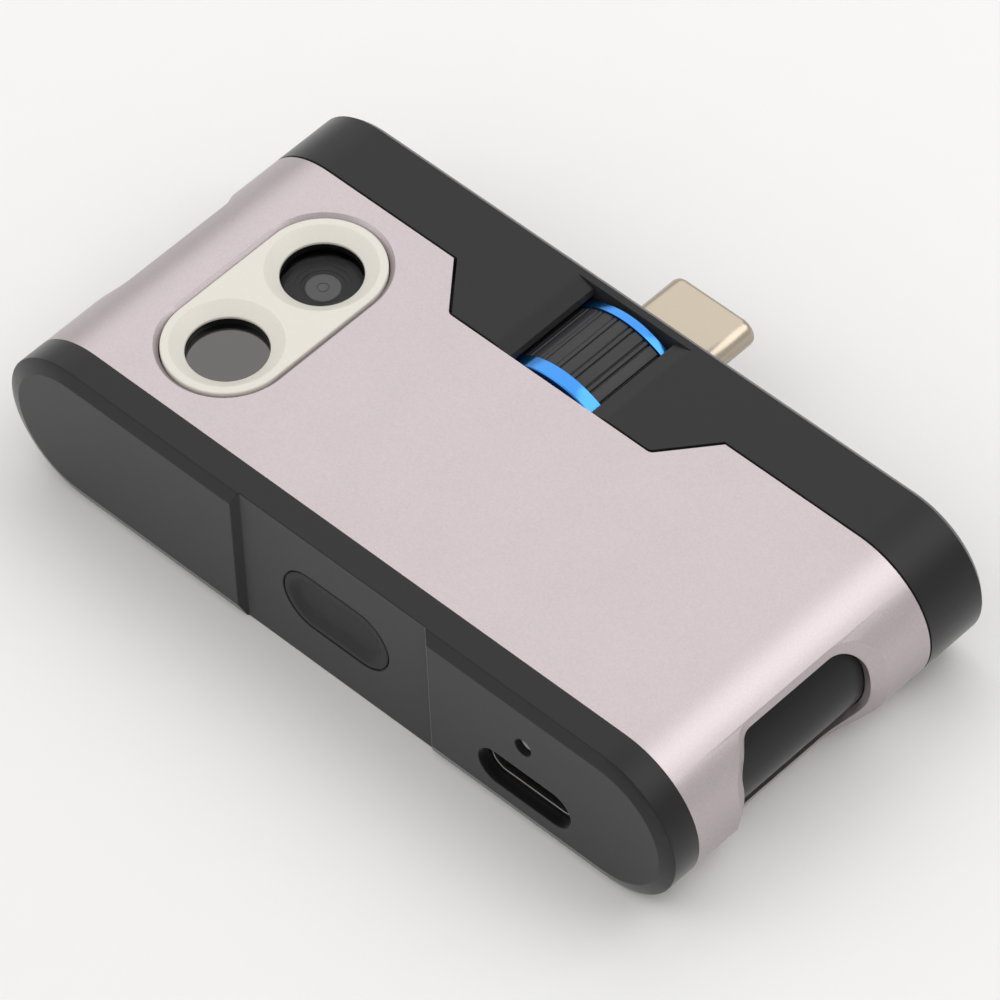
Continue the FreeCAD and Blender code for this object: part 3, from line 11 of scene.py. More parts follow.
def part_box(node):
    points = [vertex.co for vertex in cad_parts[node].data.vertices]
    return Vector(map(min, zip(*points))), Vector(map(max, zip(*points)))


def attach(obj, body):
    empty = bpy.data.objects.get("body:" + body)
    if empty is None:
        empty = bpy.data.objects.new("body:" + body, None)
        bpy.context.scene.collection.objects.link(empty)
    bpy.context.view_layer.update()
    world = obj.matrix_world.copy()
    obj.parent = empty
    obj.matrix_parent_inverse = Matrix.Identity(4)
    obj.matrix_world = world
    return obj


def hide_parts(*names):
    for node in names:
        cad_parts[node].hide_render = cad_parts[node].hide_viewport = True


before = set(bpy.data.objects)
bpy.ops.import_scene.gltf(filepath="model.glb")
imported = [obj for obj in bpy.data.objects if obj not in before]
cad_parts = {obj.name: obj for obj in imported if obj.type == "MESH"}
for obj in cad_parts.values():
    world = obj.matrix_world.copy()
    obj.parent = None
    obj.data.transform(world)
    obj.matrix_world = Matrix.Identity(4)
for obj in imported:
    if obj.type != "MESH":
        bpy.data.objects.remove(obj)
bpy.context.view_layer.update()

bl_info = {
    "name": "Pocket thermal camera",
    "version": (1, 0, 0),
    "blender": (4, 5, 0),
    "location": "3D View > Sidebar > Thermal camera",
    "description": "Dresses the packed parts of a pocket thermal camera and lights them in a studio",
    "category": "Object",
}

MM = 0.001
JOIN = 1e-6                          # vertices nearer than this are one
FLAT = math.radians(0.5)             # faces that turn less are one flat face
HARD = math.radians(18)              # edges that turn more are hard edges
FACE_WEIGHT = 60                     # how far large faces lead in the shading of their edges
RIM_STEPS = 180                      # steps around the dial's rims
PAIR_STEPS = 36                      # steps around the tread for each pair of grooves
GROOVE_FLOOR, GROOVE_LIP = 0.55, 1.15    # where a groove's wall starts and ends, in half widths
BEZEL_RIM = 0.97                     # edges beyond this share of the bezel's half width are its rim
MOUTH = 0.55                         # how far the roll draws the plug's mouth in, in roll radii
LIP = ((0.3, 0.15), (0.5, 1.0))      # points of its lip: inward and back from the end, in walls
TIP, TAPER = 0.4, 0.6                # radius and length of a screw's point, in shank radii
BROW, BROW_RISE, CROWN = 0.9, 0.6, 0.7   # middle and end of the round of its head, as shares
CROSS_REACH, CROSS_WIDTH = 0.7, 0.8  # floor of its cross, as shares of the cross at the top


# -------- settings
def linear(colour):
    """The linear colour of an sRGB hex value."""
    shares = [int(colour[place:place + 2], 16) / 255 for place in (1, 3, 5)]
    return tuple(s / 12.92 if s <= 0.04045 else ((s + 0.055) / 1.055) ** 2.4 for s in shares) + (1.0,)


def size(name, description, millimetres):
    """A length that a user may change."""
    return bpy.props.FloatProperty(name=name, description=description, default=millimetres * MM, min=0.0,
                                   precision=5, unit="LENGTH")


def colour(name, description, value):
    """A colour that a user may change."""
    return bpy.props.FloatVectorProperty(name=name, description=description, default=linear(value), size=4,
                                         min=0.0, max=1.0, subtype="COLOR")


def angle(name, description, radians):
    """An angle that a user may change."""
    return bpy.props.FloatProperty(name=name, description=description, default=radians, subtype="ANGLE")


def power(name, description, watts):
    """A lamp's power that a user may change."""
    return bpy.props.FloatProperty(name=name, description=description, default=watts, unit="POWER")


def strength(name, description, value):
    """A strength of the surround that a user may change."""
    return bpy.props.FloatProperty(name=name, description=description, default=value, min=0.0)


class CasingSettings(bpy.types.PropertyGroup):
    """Edges and colours of the sleeve, the caps, the inner frame and the bezel."""
    sleeve_edge: size("Sleeve edge", "Radius that breaks the cut edges of the sleeve", 0.12)
    cap_edge: size("Cap edge", "Radius of the moulded edges of both caps", 0.2)
    frame_edge: size("Frame edge", "Radius of the moulded edges of the inner frame", 0.1)
    bezel_edge: size("Bezel edge", "Radius around the outside of the bezel", 0.14)
    bezel_hole_edge: size("Bezel hole edge", "Radius where the cones meet the face and the holes", 0.06)
    sleeve_colour: colour("Sleeve colour", "Dyed aluminium of the sleeve", "#BBB1B4")
    cap_colour: colour("Cap colour", "Moulded plastic of both caps", "#131213")
    frame_colour: colour("Frame colour", "Moulded plastic of the inner frame", "#0F0F10")
    bezel_colour: colour("Bezel colour", "Plate around the two lenses", "#E0DCD2")


class DialSettings(bpy.types.PropertyGroup):
    """Sizes and colours of the dial that drives the plug."""
    rim_edge: size("Rim edge", "Radius that breaks the turned rims", 0.15)
    groove_width: size("Groove width", "Width of each groove across the tread", 0.18)
    groove_depth: size("Groove depth", "Depth of each groove in the tread", 0.2)
    groove_spacing: size("Groove spacing", "Distance between the two grooves of a pair", 0.5)
    tread_edge: size("Tread edge", "Radius at both ends of the tread", 0.1)
    groove_pairs: bpy.props.IntProperty(
        name="Groove pairs", description="Pairs of grooves around the tread", default=27, min=3)
    rim_colour: colour("Rim colour", "Anodised aluminium of the rims", "#3887D6")
    tread_colour: colour("Tread colour", "Rubber of the tread", "#2A2A2C")


class PlugSettings(bpy.types.PropertyGroup):
    """Sizes and colours of the plug and its contacts."""
    wall: size("Shell wall", "Sheet that the shell is drawn from", 0.2)
    tip_radius: size("Tip radius", "Roll of the shell's edge at the mouth", 0.5)
    contact_bow: size("Contact bow", "How far a contact spring stands out of its row", 0.06)
    shell_colour: colour("Shell colour", "Plated steel of the plug", "#B3A898")


class EyeSettings(bpy.types.PropertyGroup):
    """Steps in the small camera's barrel and lens."""
    barrel_edge: size("Barrel edge", "Bevel around the top of the barrel", 0.12)
    baffle_step: size("Baffle step", "Height of each step inside the barrel", 0.25)
    pupil_ring: size("Pupil ring", "Radius of the ring in the middle of the lens", 0.43)
    ring_width: size("Ring width", "Width of that ring", 0.12)


class ScrewSettings(bpy.types.PropertyGroup):
    """Shape of the pan-head screws."""
    recess_reach: size("Recess reach", "From the middle of the head to the end of a slot", 0.55)
    recess_width: size("Recess width", "Width of a slot of the cross", 0.24)
    recess_depth: size("Recess depth", "Depth of the cross", 0.28)
    head_round: size("Head round", "Height of the rounded part of the head", 0.2)


class ButtonSettings(bpy.types.PropertyGroup):
    """Edges and colour of the power button, the charging port and the light."""
    button_edge: size("Button edge", "Radius of the moulded rim of the button", 0.12)
    port_edge: size("Port edge", "Radius on the lip of the charging port", 0.05)
    tongue_edge: size("Tongue edge", "Radius around the tongue of the charging port", 0.12)
    light_dome: size("Light dome", "How far the end of the light pipe bulges", 0.12)
    button_colour: colour("Button colour", "Soft rubber of the button", "#1E1D1E")


class StudioSettings(bpy.types.PropertyGroup):
    """Camera, lamps and floor."""
    azimuth: angle("Azimuth", "Camera's turn about the upright axis", 0.796838)
    elevation: angle("Elevation", "Camera's height above the floor", 0.864966)
    roll: angle("Roll", "Camera's turn about its own axis", -0.0483628)
    distance: size("Distance", "From the camera to the point it looks at", 604.533)
    lens: bpy.props.FloatProperty(name="Lens", description="Focal length in millimetres", default=293.27)
    target: bpy.props.FloatVectorProperty(
        name="Target", description="Point that the camera looks at", default=(0.0009286, 0.000063, 0.007),
        precision=5, unit="LENGTH", subtype="TRANSLATION")
    key_power: power("Key lamp", "Power of the large soft lamp", 0.9)
    fill_power: power("Fill lamp", "Power of the weaker lamp", 0.5)
    top_power: power("Top lamp", "Power of the wide lamp over the lenses", 0.86)
    sky_high: strength("Surround high", "Light from the bright side overhead", 0.9)
    sky_low: strength("Surround low", "Light from near the floor", 0.3)
    floor_colour: colour("Floor colour", "Pale floor", "#F4F3F2")
    backdrop_colour: colour("Backdrop colour", "What shows beyond the floor", "#DCDBDA")


GROUPS = {"casing": CasingSettings, "dial": DialSettings, "plug": PlugSettings, "eye": EyeSettings,
          "screw": ScrewSettings, "button": ButtonSettings, "studio": StudioSettings}


def settings(name):
    """One group of the scene's settings."""
    return getattr(bpy.context.scene, f"thermal_camera_{name}")


# -------- finishes
def add_node(tree, kind, values=None, links=None):
    """Adds a node, sets its properties and its sockets' values, and joins its inputs to outputs."""
    node = tree.nodes.new(kind)
    for name, value in (values or {}).items():
        if isinstance(name, str) and hasattr(node, name):
            setattr(node, name, value)
        else:
            node.inputs[name].default_value = value
    for name, output in (links or {}).items():
        tree.links.new(output, node.inputs[name])
    return node


def maths(tree, operation, *terms):
    """The result of a maths node whose terms are numbers or other nodes' outputs."""
    numbers = {place: term for place, term in enumerate(terms) if isinstance(term, (int, float))}
    links = {place: term for place, term in enumerate(terms) if place not in numbers}
    return add_node(tree, "ShaderNodeMath", {"operation": operation, **numbers}, links).outputs["Value"]


NOISE = ("ShaderNodeTexNoise", {"Detail": 3.0, "Roughness": 0.6})
CELLS = ("ShaderNodeTexVoronoi", {})
TURNS = ("ShaderNodeTexWave", {"Distortion": 0.4, "Detail": 1.0})


class Finish(NamedTuple):
    """How a material looks: its shader's values and the grain that its surface shows."""
    name: str
    colour: str | tuple              # a hex value, or the group and name of the setting that holds it
    rough: float
    grain: float                     # width of a grain in mm
    tint: float                      # share by which the colour wanders with the grain
    polish: float                    # share by which the roughness wanders with it
    dent: float = 0.0                # depth of the dents in mm
    texture: tuple = NOISE
    stretch: tuple = (1, 1, 1)       # a share under 1 draws the grain out along that axis
    metal: float = 0.0
    ior: float | None = None         # the shader's own where none is given, as on metal
    more: dict = {}                  # other sockets of the shader


FINISHES = {
    # fine blasted grain under a lilac dye: satin, with a soft wide highlight
    "sleeve_metal": Finish(
        "blasted_anodised_aluminium", ("casing", "sleeve_colour"), metal=0.9, rough=0.38, grain=0.16,
        tint=0.12, polish=0.14, dent=0.008),
    # spark-eroded mould texture with a soft-touch coat: black with a grey bloom
    "cap_plastic": Finish(
        "soft_touch_moulded_abs", ("casing", "cap_colour"), rough=0.38, ior=1.37, grain=0.14, tint=0.16,
        polish=0.12, dent=0.004, more={"Sheen Weight": 0.28, "Sheen Roughness": 0.4}),
    # finer mould texture, a little glossier than the caps
    "frame_plastic": Finish(
        "satin_moulded_polycarbonate", ("casing", "frame_colour"), rough=0.3, ior=1.36, grain=0.2,
        tint=0.12, polish=0.08, dent=0.002),
    # pearl lacquer on a moulded plate: pale, faintly warm, with a low sheen
    "bezel_plastic": Finish(
        "pearl_lacquered_polycarbonate", ("casing", "bezel_colour"), rough=0.42, ior=1.5, grain=0.18,
        tint=0.03, polish=0.06, dent=0.002),
    # die-cut acrylic tape: dull and nearly black
    "adhesive_film": Finish(
        "black_acrylic_tape", "#1C1C1D", rough=0.7, grain=0.3, tint=0.1, polish=0.05, dent=0.002),
    # turned, then dyed: bright blue with faint lines around the axis
    "dial_metal": Finish(
        "turned_blue_anodised_aluminium", ("dial", "rim_colour"), metal=0.95, rough=0.2, grain=0.1,
        tint=0.02, polish=0.03, dent=0.0003, stretch=(0.15, 1, 0.15),
        more={"Coat Weight": 0.4, "Coat Roughness": 0.12}),
    # moulded silicone: nearly black, matt, with a dusty bloom on the high lands
    "tread_rubber": Finish(
        "moulded_silicone_rubber", ("dial", "tread_colour"), rough=0.42, ior=1.45, grain=0.12, tint=0.2,
        polish=0.12, dent=0.004),
    # skived acetal: milky and slippery
    "washer_plastic": Finish(
        "skived_acetal", "#D9D8D2", rough=0.4, ior=1.48, grain=0.4, tint=0.03, polish=0.05, dent=0.001),
    # rolled strip steel: grain lines along the strip
    "retainer_steel": Finish(
        "rolled_spring_steel", "#A9A9A6", metal=1.0, rough=0.32, grain=0.1, tint=0.08, polish=0.1,
        dent=0.002, stretch=(0.08, 1, 1)),
    # nickel-plated screw: bright, slightly yellow
    "screw_steel": Finish(
        "nickel_plated_steel", "#B9B6AE", metal=1.0, rough=0.28, grain=0.15, tint=0.06, polish=0.08,
        dent=0.001),
    # turned acetal: black with faint tool lines
    "collar_plastic": Finish(
        "turned_black_acetal", "#232324", rough=0.4, ior=1.48, grain=0.15, tint=0.1, polish=0.1, dent=0.002,
        stretch=(0.15, 1, 0.15)),
    # drawn steel with a warm nickel plate: satin champagne with fine drawing lines along the plug
    "plug_metal": Finish(
        "drawn_nickel_plated_steel", ("plug", "shell_colour"), metal=1.0, rough=0.27, grain=0.06, tint=0.01,
        polish=0.03, stretch=(1, 0.12, 1)),
    # glass-filled nylon: black, slightly grainy
    "plug_plastic": Finish(
        "glass_filled_nylon", "#1B1B1D", rough=0.5, ior=1.45, grain=0.1, tint=0.15, polish=0.1, dent=0.003),
    # gold over nickel on stamped bronze
    "contact_gold": Finish(
        "gold_plated_bronze", "#D9B25F", metal=1.0, rough=0.22, grain=0.08, tint=0.05, polish=0.08,
        dent=0.0006, stretch=(1, 0.2, 1)),
    # deep-drawn stainless: cool grey with drawing lines along the shell
    "port_metal": Finish(
        "drawn_stainless_steel", "#A5A4A3", metal=1.0, rough=0.3, grain=0.08, tint=0.06, polish=0.08,
        dent=0.001, stretch=(1, 0.12, 1)),
    # soft rubber over a hard core: the dullest black on the casing
    "button_rubber": Finish(
        "soft_touch_silicone", ("button", "button_colour"), rough=0.5, ior=1.43, grain=0.14, tint=0.16,
        polish=0.1, dent=0.003),
    # moulded switch body: dark grey nylon
    "switch_plastic": Finish(
        "moulded_nylon", "#4A4A4C", rough=0.5, ior=1.53, grain=0.2, tint=0.08, polish=0.08, dent=0.002),
    # cast acrylic light guide: milky and smooth
    "light_resin": Finish(
        "diffusing_acrylic", "#B8B6B2", rough=0.25, ior=1.49, grain=0.3, tint=0.04, polish=0.05, dent=0.001,
        more={"Subsurface Weight": 0.3, "Subsurface Radius": (0.3 * MM,) * 3}),
    # lamp chip in yellowish silicone
    "lamp_resin": Finish(
        "silicone_filled_lamp", "#E8DDA0", rough=0.35, ior=1.43, grain=0.2, tint=0.06, polish=0.05,
        dent=0.001),
    # green-black solder mask over copper tracks that show as slightly raised lanes
    "board_resin": Finish(
        "solder_masked_epoxy_board", "#17382B", rough=0.35, ior=1.5, grain=0.9, tint=0.3, polish=0.1,
        dent=0.02, texture=CELLS),
    # transfer-moulded epoxy: black with a fine matt skin
    "chip_resin": Finish(
        "moulded_epoxy", "#1E1E20", rough=0.62, ior=1.55, grain=0.1, tint=0.15, polish=0.1, dent=0.003),
    # tinned sheet: soft streaky grey
    "can_steel": Finish(
        "tinned_steel_sheet", "#B4B5B4", metal=1.0, rough=0.35, grain=0.4, tint=0.08, polish=0.12,
        dent=0.002, stretch=(0.3, 1, 1)),
    # ivory liquid-crystal polymer with flow lines
    "connector_plastic": Finish(
        "liquid_crystal_polymer", "#CFC8B4", rough=0.5, ior=1.6, grain=0.2, tint=0.08, polish=0.08,
        dent=0.002, stretch=(1, 0.3, 1)),
    # polyimide ribbon: amber, with copper lanes along it
    "lead_film": Finish(
        "polyimide_ribbon", "#A5661E", rough=0.3, ior=1.66, grain=0.35, tint=0.25, polish=0.08, dent=0.003,
        texture=TURNS),
    # aluminium laminate: silver pouch with shallow creases
    "battery_foil": Finish(
        "aluminium_laminate_pouch", "#C4C5C6", metal=0.85, rough=0.34, grain=2.5, tint=0.05, polish=0.12,
        dent=0.05),
    # open-cell foam: dark grey with visible pores
    "pad_foam": Finish(
        "open_cell_foam", "#3C3C3E", rough=0.95, ior=1.4, grain=0.25, tint=0.4, polish=0.04, dent=0.06,
        texture=CELLS),
    # black anodised casting around the sensor
    "core_metal": Finish(
        "black_anodised_zinc_casting", "#2D2D2F", metal=0.6, rough=0.42, grain=0.2, tint=0.12, polish=0.1,
        dent=0.004),
    # coated germanium: a grey mirror, opaque to the eye
    "germanium": Finish(
        "coated_germanium", "#5F5D5C", metal=1.0, rough=0.08, grain=1.5, tint=0.02, polish=0.02),
    # blackened blade of the shutter
    "shutter_steel": Finish(
        "blackened_steel", "#313134", metal=0.8, rough=0.45, grain=0.12, tint=0.1, polish=0.1, dent=0.002,
        stretch=(0.2, 1, 1)),
    # enamelled copper wire wound in close turns of 0.1 mm
    "coil_copper": Finish(
        "enamelled_copper_winding", "#B0603A", metal=1.0, rough=0.3, grain=0.1, tint=0.25, polish=0.05,
        dent=0.03, texture=TURNS),
    # matt black barrel that swallows stray light
    "camera_plastic": Finish(
        "matt_black_barrel", "#1D1C1D", rough=0.5, ior=1.5, grain=0.12, tint=0.12, polish=0.08, dent=0.002),
    # coated cover glass: clear, with a faint dark tint
    "camera_glass": Finish(
        "coated_cover_glass", "#C9CACB", rough=0.02, ior=1.22, grain=2.0, tint=0.01, polish=0.0,
        more={"Transmission Weight": 1.0}),
    # coated front element: a grey sheen over a dark pupil, painted into its grey colour as a painted
    # reflection; the coat adds a real reflection as well
    "eye_glass": Finish(
        "coated_front_element", "#7C7B78", rough=0.12, ior=1.6, grain=1.0, tint=0.02, polish=0.02,
        more={"Coat Weight": 0.6}),
}

BLOTCH = 40                          # width of the broad blotches in grains
BLOTCH_SHARE = 0.25                  # how much they add to the grain
LOWEST = 0.25                        # what the sum of both rarely falls below


def material_of(slot):
    """The material of a slot, built once from its line in FINISHES."""
    look = FINISHES[slot]
    if look.name in bpy.data.materials:
        return bpy.data.materials[look.name]
    if isinstance(look.colour, tuple):
        group, setting = look.colour
        tone = getattr(settings(group), setting)
    else:
        tone = linear(look.colour)
    material = bpy.data.materials.new(look.name)
    material.use_nodes = True
    tree = material.node_tree
    shader = tree.nodes["Principled BSDF"]
    for socket, value in {"Metallic": look.metal, "Roughness": look.rough, **look.more}.items():
        shader.inputs[socket].default_value = value
    if look.ior:
        shader.inputs["IOR"].default_value = look.ior
    place = add_node(tree, "ShaderNodeTexCoord").outputs["Object"]
    spread = add_node(tree, "ShaderNodeMapping", {"Scale": look.stretch}, {"Vector": place})
    texture, texture_values = look.texture
    fine = add_node(tree, texture, {**texture_values, "Scale": 1 / (look.grain * MM)},
                    {"Vector": spread.outputs["Vector"]})
    grains = fine.outputs["Distance" if look.texture is CELLS else "Fac"]
    broad = add_node(tree, "ShaderNodeTexNoise", {"Scale": 1 / (BLOTCH * look.grain * MM), "Detail": 2.0},
                     {"Vector": place})
    mixed = maths(tree, "MULTIPLY_ADD", broad.outputs["Fac"], BLOTCH_SHARE, grains)
    share = add_node(tree, "ShaderNodeMapRange", {"From Min": LOWEST, "From Max": 1.0}, {"Value": mixed})
    dark, light = (tuple(min(1.0, part * (1 + side * look.tint)) for part in tone[:3]) + (1.0,)
                   for side in (-1, 1))
    paint = add_node(tree, "ShaderNodeMix", {"data_type": "RGBA", 6: dark, 7: light},
                     {0: share.outputs["Result"]})
    tree.links.new(paint.outputs[2], shader.inputs["Base Color"])
    polish = add_node(tree, "ShaderNodeMapRange", {
        "To Min": look.rough * (1 - look.polish), "To Max": min(1.0, look.rough * (1 + look.polish))},
        {"Value": mixed})
    tree.links.new(polish.outputs["Result"], shader.inputs["Roughness"])
    if look.dent:
        relief = add_node(tree, "ShaderNodeBump", {"Strength": 1.0, "Distance": look.dent * MM},
                          {"Height": grains})
        tree.links.new(relief.outputs["Normal"], shader.inputs["Normal"])
    return material


# -------- shapes
def new_piece(name, mesh):
    """An object at the origin with that mesh, linked to the scene."""
    piece = bpy.data.objects.new(name, mesh)
    bpy.context.scene.collection.objects.link(piece)
    return piece


def piece_from(name, shape):
    """A smooth-shaded object made of a bmesh, which is freed."""
    mesh = bpy.data.meshes.new(name)
    shape.to_mesh(mesh)
    shape.free()
    mesh.shade_smooth()
    return new_piece(name, mesh)


def joined_copy(node):
    """A bmesh of a CAD node whose triangles share their corners."""
    shape = bmesh.new()
    shape.from_mesh(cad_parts[node].data)
    bmesh.ops.remove_doubles(shape, verts=shape.verts, dist=JOIN)
    return shape


def merged_copy(node):
    """A bmesh of a CAD node with each flat face in one piece."""
    shape = joined_copy(node)
    bmesh.ops.dissolve_limit(shape, angle_limit=FLAT, verts=shape.verts, edges=shape.edges)
    return shape


def made_plain(piece):
    """The piece with its modifiers made part of its mesh."""
    bpy.context.view_layer.update()
    shown = piece.evaluated_get(bpy.context.evaluated_depsgraph_get())
    mesh = bpy.data.meshes.new_from_object(shown)
    piece.modifiers.clear()
    piece.data = mesh
    return piece


def shaded_evenly(piece, keep_sharp=False):
    """The piece, made plain, with its large faces leading in the shading."""
    even = piece.modifiers.new("even shading", "WEIGHTED_NORMAL")
    even.weight, even.keep_sharp = FACE_WEIGHT, keep_sharp
    return made_plain(piece)


def softened(name, shape, radius, share=lambda edge: 1.0, steps=3):
    """A piece whose hard edges are rounded by the radius, times each edge's share of it."""
    weights = shape.edges.layers.float.new("bevel_weight_edge")
    for edge in shape.edges:
        if len(edge.link_faces) == 2 and edge.calc_face_angle() > HARD:
            edge[weights] = share(edge)
    piece = piece_from(name, shape)
    round_off = piece.modifiers.new("rounded edges", "BEVEL")
    round_off.limit_method = "WEIGHT"
    round_off.width, round_off.segments = radius, steps
    return shaded_evenly(piece)


def stand_in(piece, body, slot, *nodes):
    """Gives a piece its finish and lets it stand for CAD nodes on a body."""
    piece.data.materials.clear()
    piece.data.materials.append(material_of(slot))
    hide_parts(*nodes)
    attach(piece, body)


def soften_node(node, name, body, slot, radius):
    """Puts a node's own shape, with its hard edges rounded, in the node's place."""
    stand_in(softened(name, merged_copy(node), radius), body, slot, node)


def solids_of(node):
    """The lowest and highest corner of each separate solid in a CAD node."""
    shape = joined_copy(node)
    left, found = set(shape.verts), []
    while left:
        reached = [left.pop()]
        for vert in reached:
            for edge in vert.link_edges:
                other = edge.other_vert(vert)
                if other in left:
                    left.remove(other)
                    reached.append(other)
        spots = [vert.co.copy() for vert in reached]
        found.append(tuple(Vector([limit(spot[axis] for spot in spots) for axis in range(3)])
                           for limit in (min, max)))
    shape.free()
    return sorted(found, key=lambda box: tuple(box[0]))


def quarter_arc(width, height, steps=8):
    """Points of a quarter of an ellipse that starts level at nothing and ends upright."""
    turns = [math.pi / 2 * step / steps for step in range(steps + 1)]
    return [(width * math.sin(turn), height * (1 - math.cos(turn))) for turn in turns]


def rounded_slot(width, height, corner, steps=12):
    """Points around a rectangle with rounded corners, centred on the origin."""
    points = []
    for quarter, (side, up) in enumerate(((1, 1), (-1, 1), (-1, -1), (1, -1))):
        centre = Vector((side * (width / 2 - corner), up * (height / 2 - corner)))
        for step in range(steps + 1):
            turn = math.pi / 2 * (quarter + step / steps)
            points.append(centre + corner * Vector((math.cos(turn), math.sin(turn))))
    return points


def lofted(name, rings, closed=False):
    """A skin through rings of points; open ends get a face."""
    shape = bmesh.new()
    rows = [[shape.verts.new(spot) for spot in ring] for ring in rings]
    pairs = list(zip(rows, rows[1:] + rows[:1] if closed else rows[1:]))
    for row, following in pairs:
        for index, vert in enumerate(row):
            after = (index + 1) % len(row)
            shape.faces.new((vert, row[after], following[after], following[index]))
    if not closed:
        shape.faces.new(rows[0])
        shape.faces.new(rows[-1])
    bmesh.ops.recalc_face_normals(shape, faces=shape.faces)
    return piece_from(name, shape)


def lathed(name, profile, centre, axis=2, closed=False, steps=64):
    """A turned skin: pairs of radius and station, swept about an axis through the centre."""
    first, second = (side for side in range(3) if side != axis)
    rings = []
    for radius, station in profile:
        ring = [Vector(centre) for step in range(steps)]
        for step, spot in enumerate(ring):
            turn = math.tau * step / steps
            spot[first] += radius * math.cos(turn)
            spot[second] += radius * math.sin(turn)
            spot[axis] = station
        rings.append(ring)
    piece = lofted(name, rings, closed)
    piece.data.set_sharp_from_angle(angle=HARD)
    return shaded_evenly(piece, keep_sharp=True)


def contact_strip(extent, bow, steps=8, narrowed=0.55):
    """One contact about the origin, in a box of that extent: narrowed at its tip and bowed towards -Z."""
    rings = []
    for step in range(steps + 1):
        along = step / steps
        half = extent.x / 2 * (narrowed if step == steps else 1.0)
        lift = bow * math.sin(math.pi * along) ** 2
        low, high = -extent.z / 2 - lift, extent.z / 2 - lift
        rings.append([Vector((x, (along - 0.5) * extent.y, z)) for x, z in
                      ((-half, low), (half, low), (half, high), (-half, high))])
    piece = lofted("contact_sample", rings)
    piece.data.set_sharp_from_angle(angle=HARD)
    return piece


def circle(radius, height, steps=24):
    """Points around a circle at one height."""
    turns = [math.tau * step / steps for step in range(steps)]
    return [Vector((radius * math.cos(turn), radius * math.sin(turn), height)) for turn in turns]


def cross(reach, width, height):
    """The points of a circle, drawn in to the outline of a cross."""
    ring, half = circle(1.0, height), width / 2
    for point in ring:
        point.xy *= half / max(half / reach, min(abs(point.x), abs(point.y)))
    return ring


def pan_head_screw(length, shank, head, thick):
    """One screw with its seat at the origin, its head towards +Z and a cross in the head."""
    screw = settings("screw")
    shoulder, reach, width = thick - screw.head_round, screw.recess_reach, screw.recess_width
    rings = [circle(shank * TIP, -length), circle(shank, shank * TAPER - length), circle(shank, 0.0),
             circle(head, 0.0), circle(head, shoulder),
             circle(head * BROW, shoulder + screw.head_round * BROW_RISE), circle(head * CROWN, thick),
             cross(reach, width, thick),
             cross(reach * CROSS_REACH, width * CROSS_WIDTH, thick - screw.recess_depth)]
    piece = lofted("screw_sample", rings)
    piece.data.set_sharp_from_angle(angle=HARD)
    return piece


# -------- repeated pieces
def input_sockets(tree, sockets):
    """Adds named inputs to a tree and returns its input node and their identifiers."""
    found = {}
    for name, kind in sockets.items():
        found[name] = tree.interface.new_socket(name, in_out="INPUT", socket_type=kind).identifier
    tree.interface.new_socket("Geometry", in_out="OUTPUT", socket_type="NodeSocketGeometry")
    return add_node(tree, "NodeGroupInput"), found


def end_tree(tree, geometry, paint):
    """Ends a tree: makes its copies real, gives them their material and puts them out."""
    real = add_node(tree, "GeometryNodeRealizeInstances", {}, {"Geometry": geometry})
    painted = add_node(tree, "GeometryNodeSetMaterial", {},
                       {"Geometry": real.outputs["Geometry"], "Material": paint})
    add_node(tree, "NodeGroupOutput", {}, {"Geometry": painted.outputs["Geometry"]})


def grown(piece, tree, identifiers, values):
    """The piece with a node tree's result made part of its mesh."""
    modifier = piece.modifiers.new(tree.name, "NODES")
    modifier.node_group = tree
    for name, value in values.items():
        modifier[identifiers[name]] = value
    made_plain(piece)
    piece.data.shade_smooth()
    return piece


def repeated(name, spots, turns, sample, slot):
    """Copies of the sample object at each spot, each with its own turn, in one mesh; the sample goes."""
    tree = bpy.data.node_groups.new("repeat_at_spots", "GeometryNodeTree")
    tree.interface.new_socket("Geometry", in_out="INPUT", socket_type="NodeSocketGeometry")
    given, sockets = input_sockets(tree, {"Sample": "NodeSocketObject", "Finish": "NodeSocketMaterial"})
    points = add_node(tree, "GeometryNodeMeshToPoints", {}, {"Mesh": given.outputs["Geometry"]})
    shape = add_node(tree, "GeometryNodeObjectInfo", {}, {"Object": given.outputs["Sample"]})
    heading = add_node(tree, "GeometryNodeInputNamedAttribute",
                       {"data_type": "FLOAT_VECTOR", "Name": "turn"})
    copies = add_node(tree, "GeometryNodeInstanceOnPoints", {},
                      {"Points": points.outputs["Points"], "Instance": shape.outputs["Geometry"],
                       "Rotation": heading.outputs["Attribute"]})
    end_tree(tree, copies.outputs["Instances"], given.outputs["Finish"])
    mesh = bpy.data.meshes.new(name)
    mesh.from_pydata([tuple(spot) for spot in spots], [], [])
    stored = mesh.attributes.new("turn", "FLOAT_VECTOR", "POINT")
    for index, turn in enumerate(turns):
        stored.data[index].vector = turn
    piece = grown(new_piece(name, mesh), tree, sockets, {"Sample": sample, "Finish": material_of(slot)})
    piece.data.set_sharp_from_angle(angle=HARD)
    bpy.data.objects.remove(sample)
    return piece


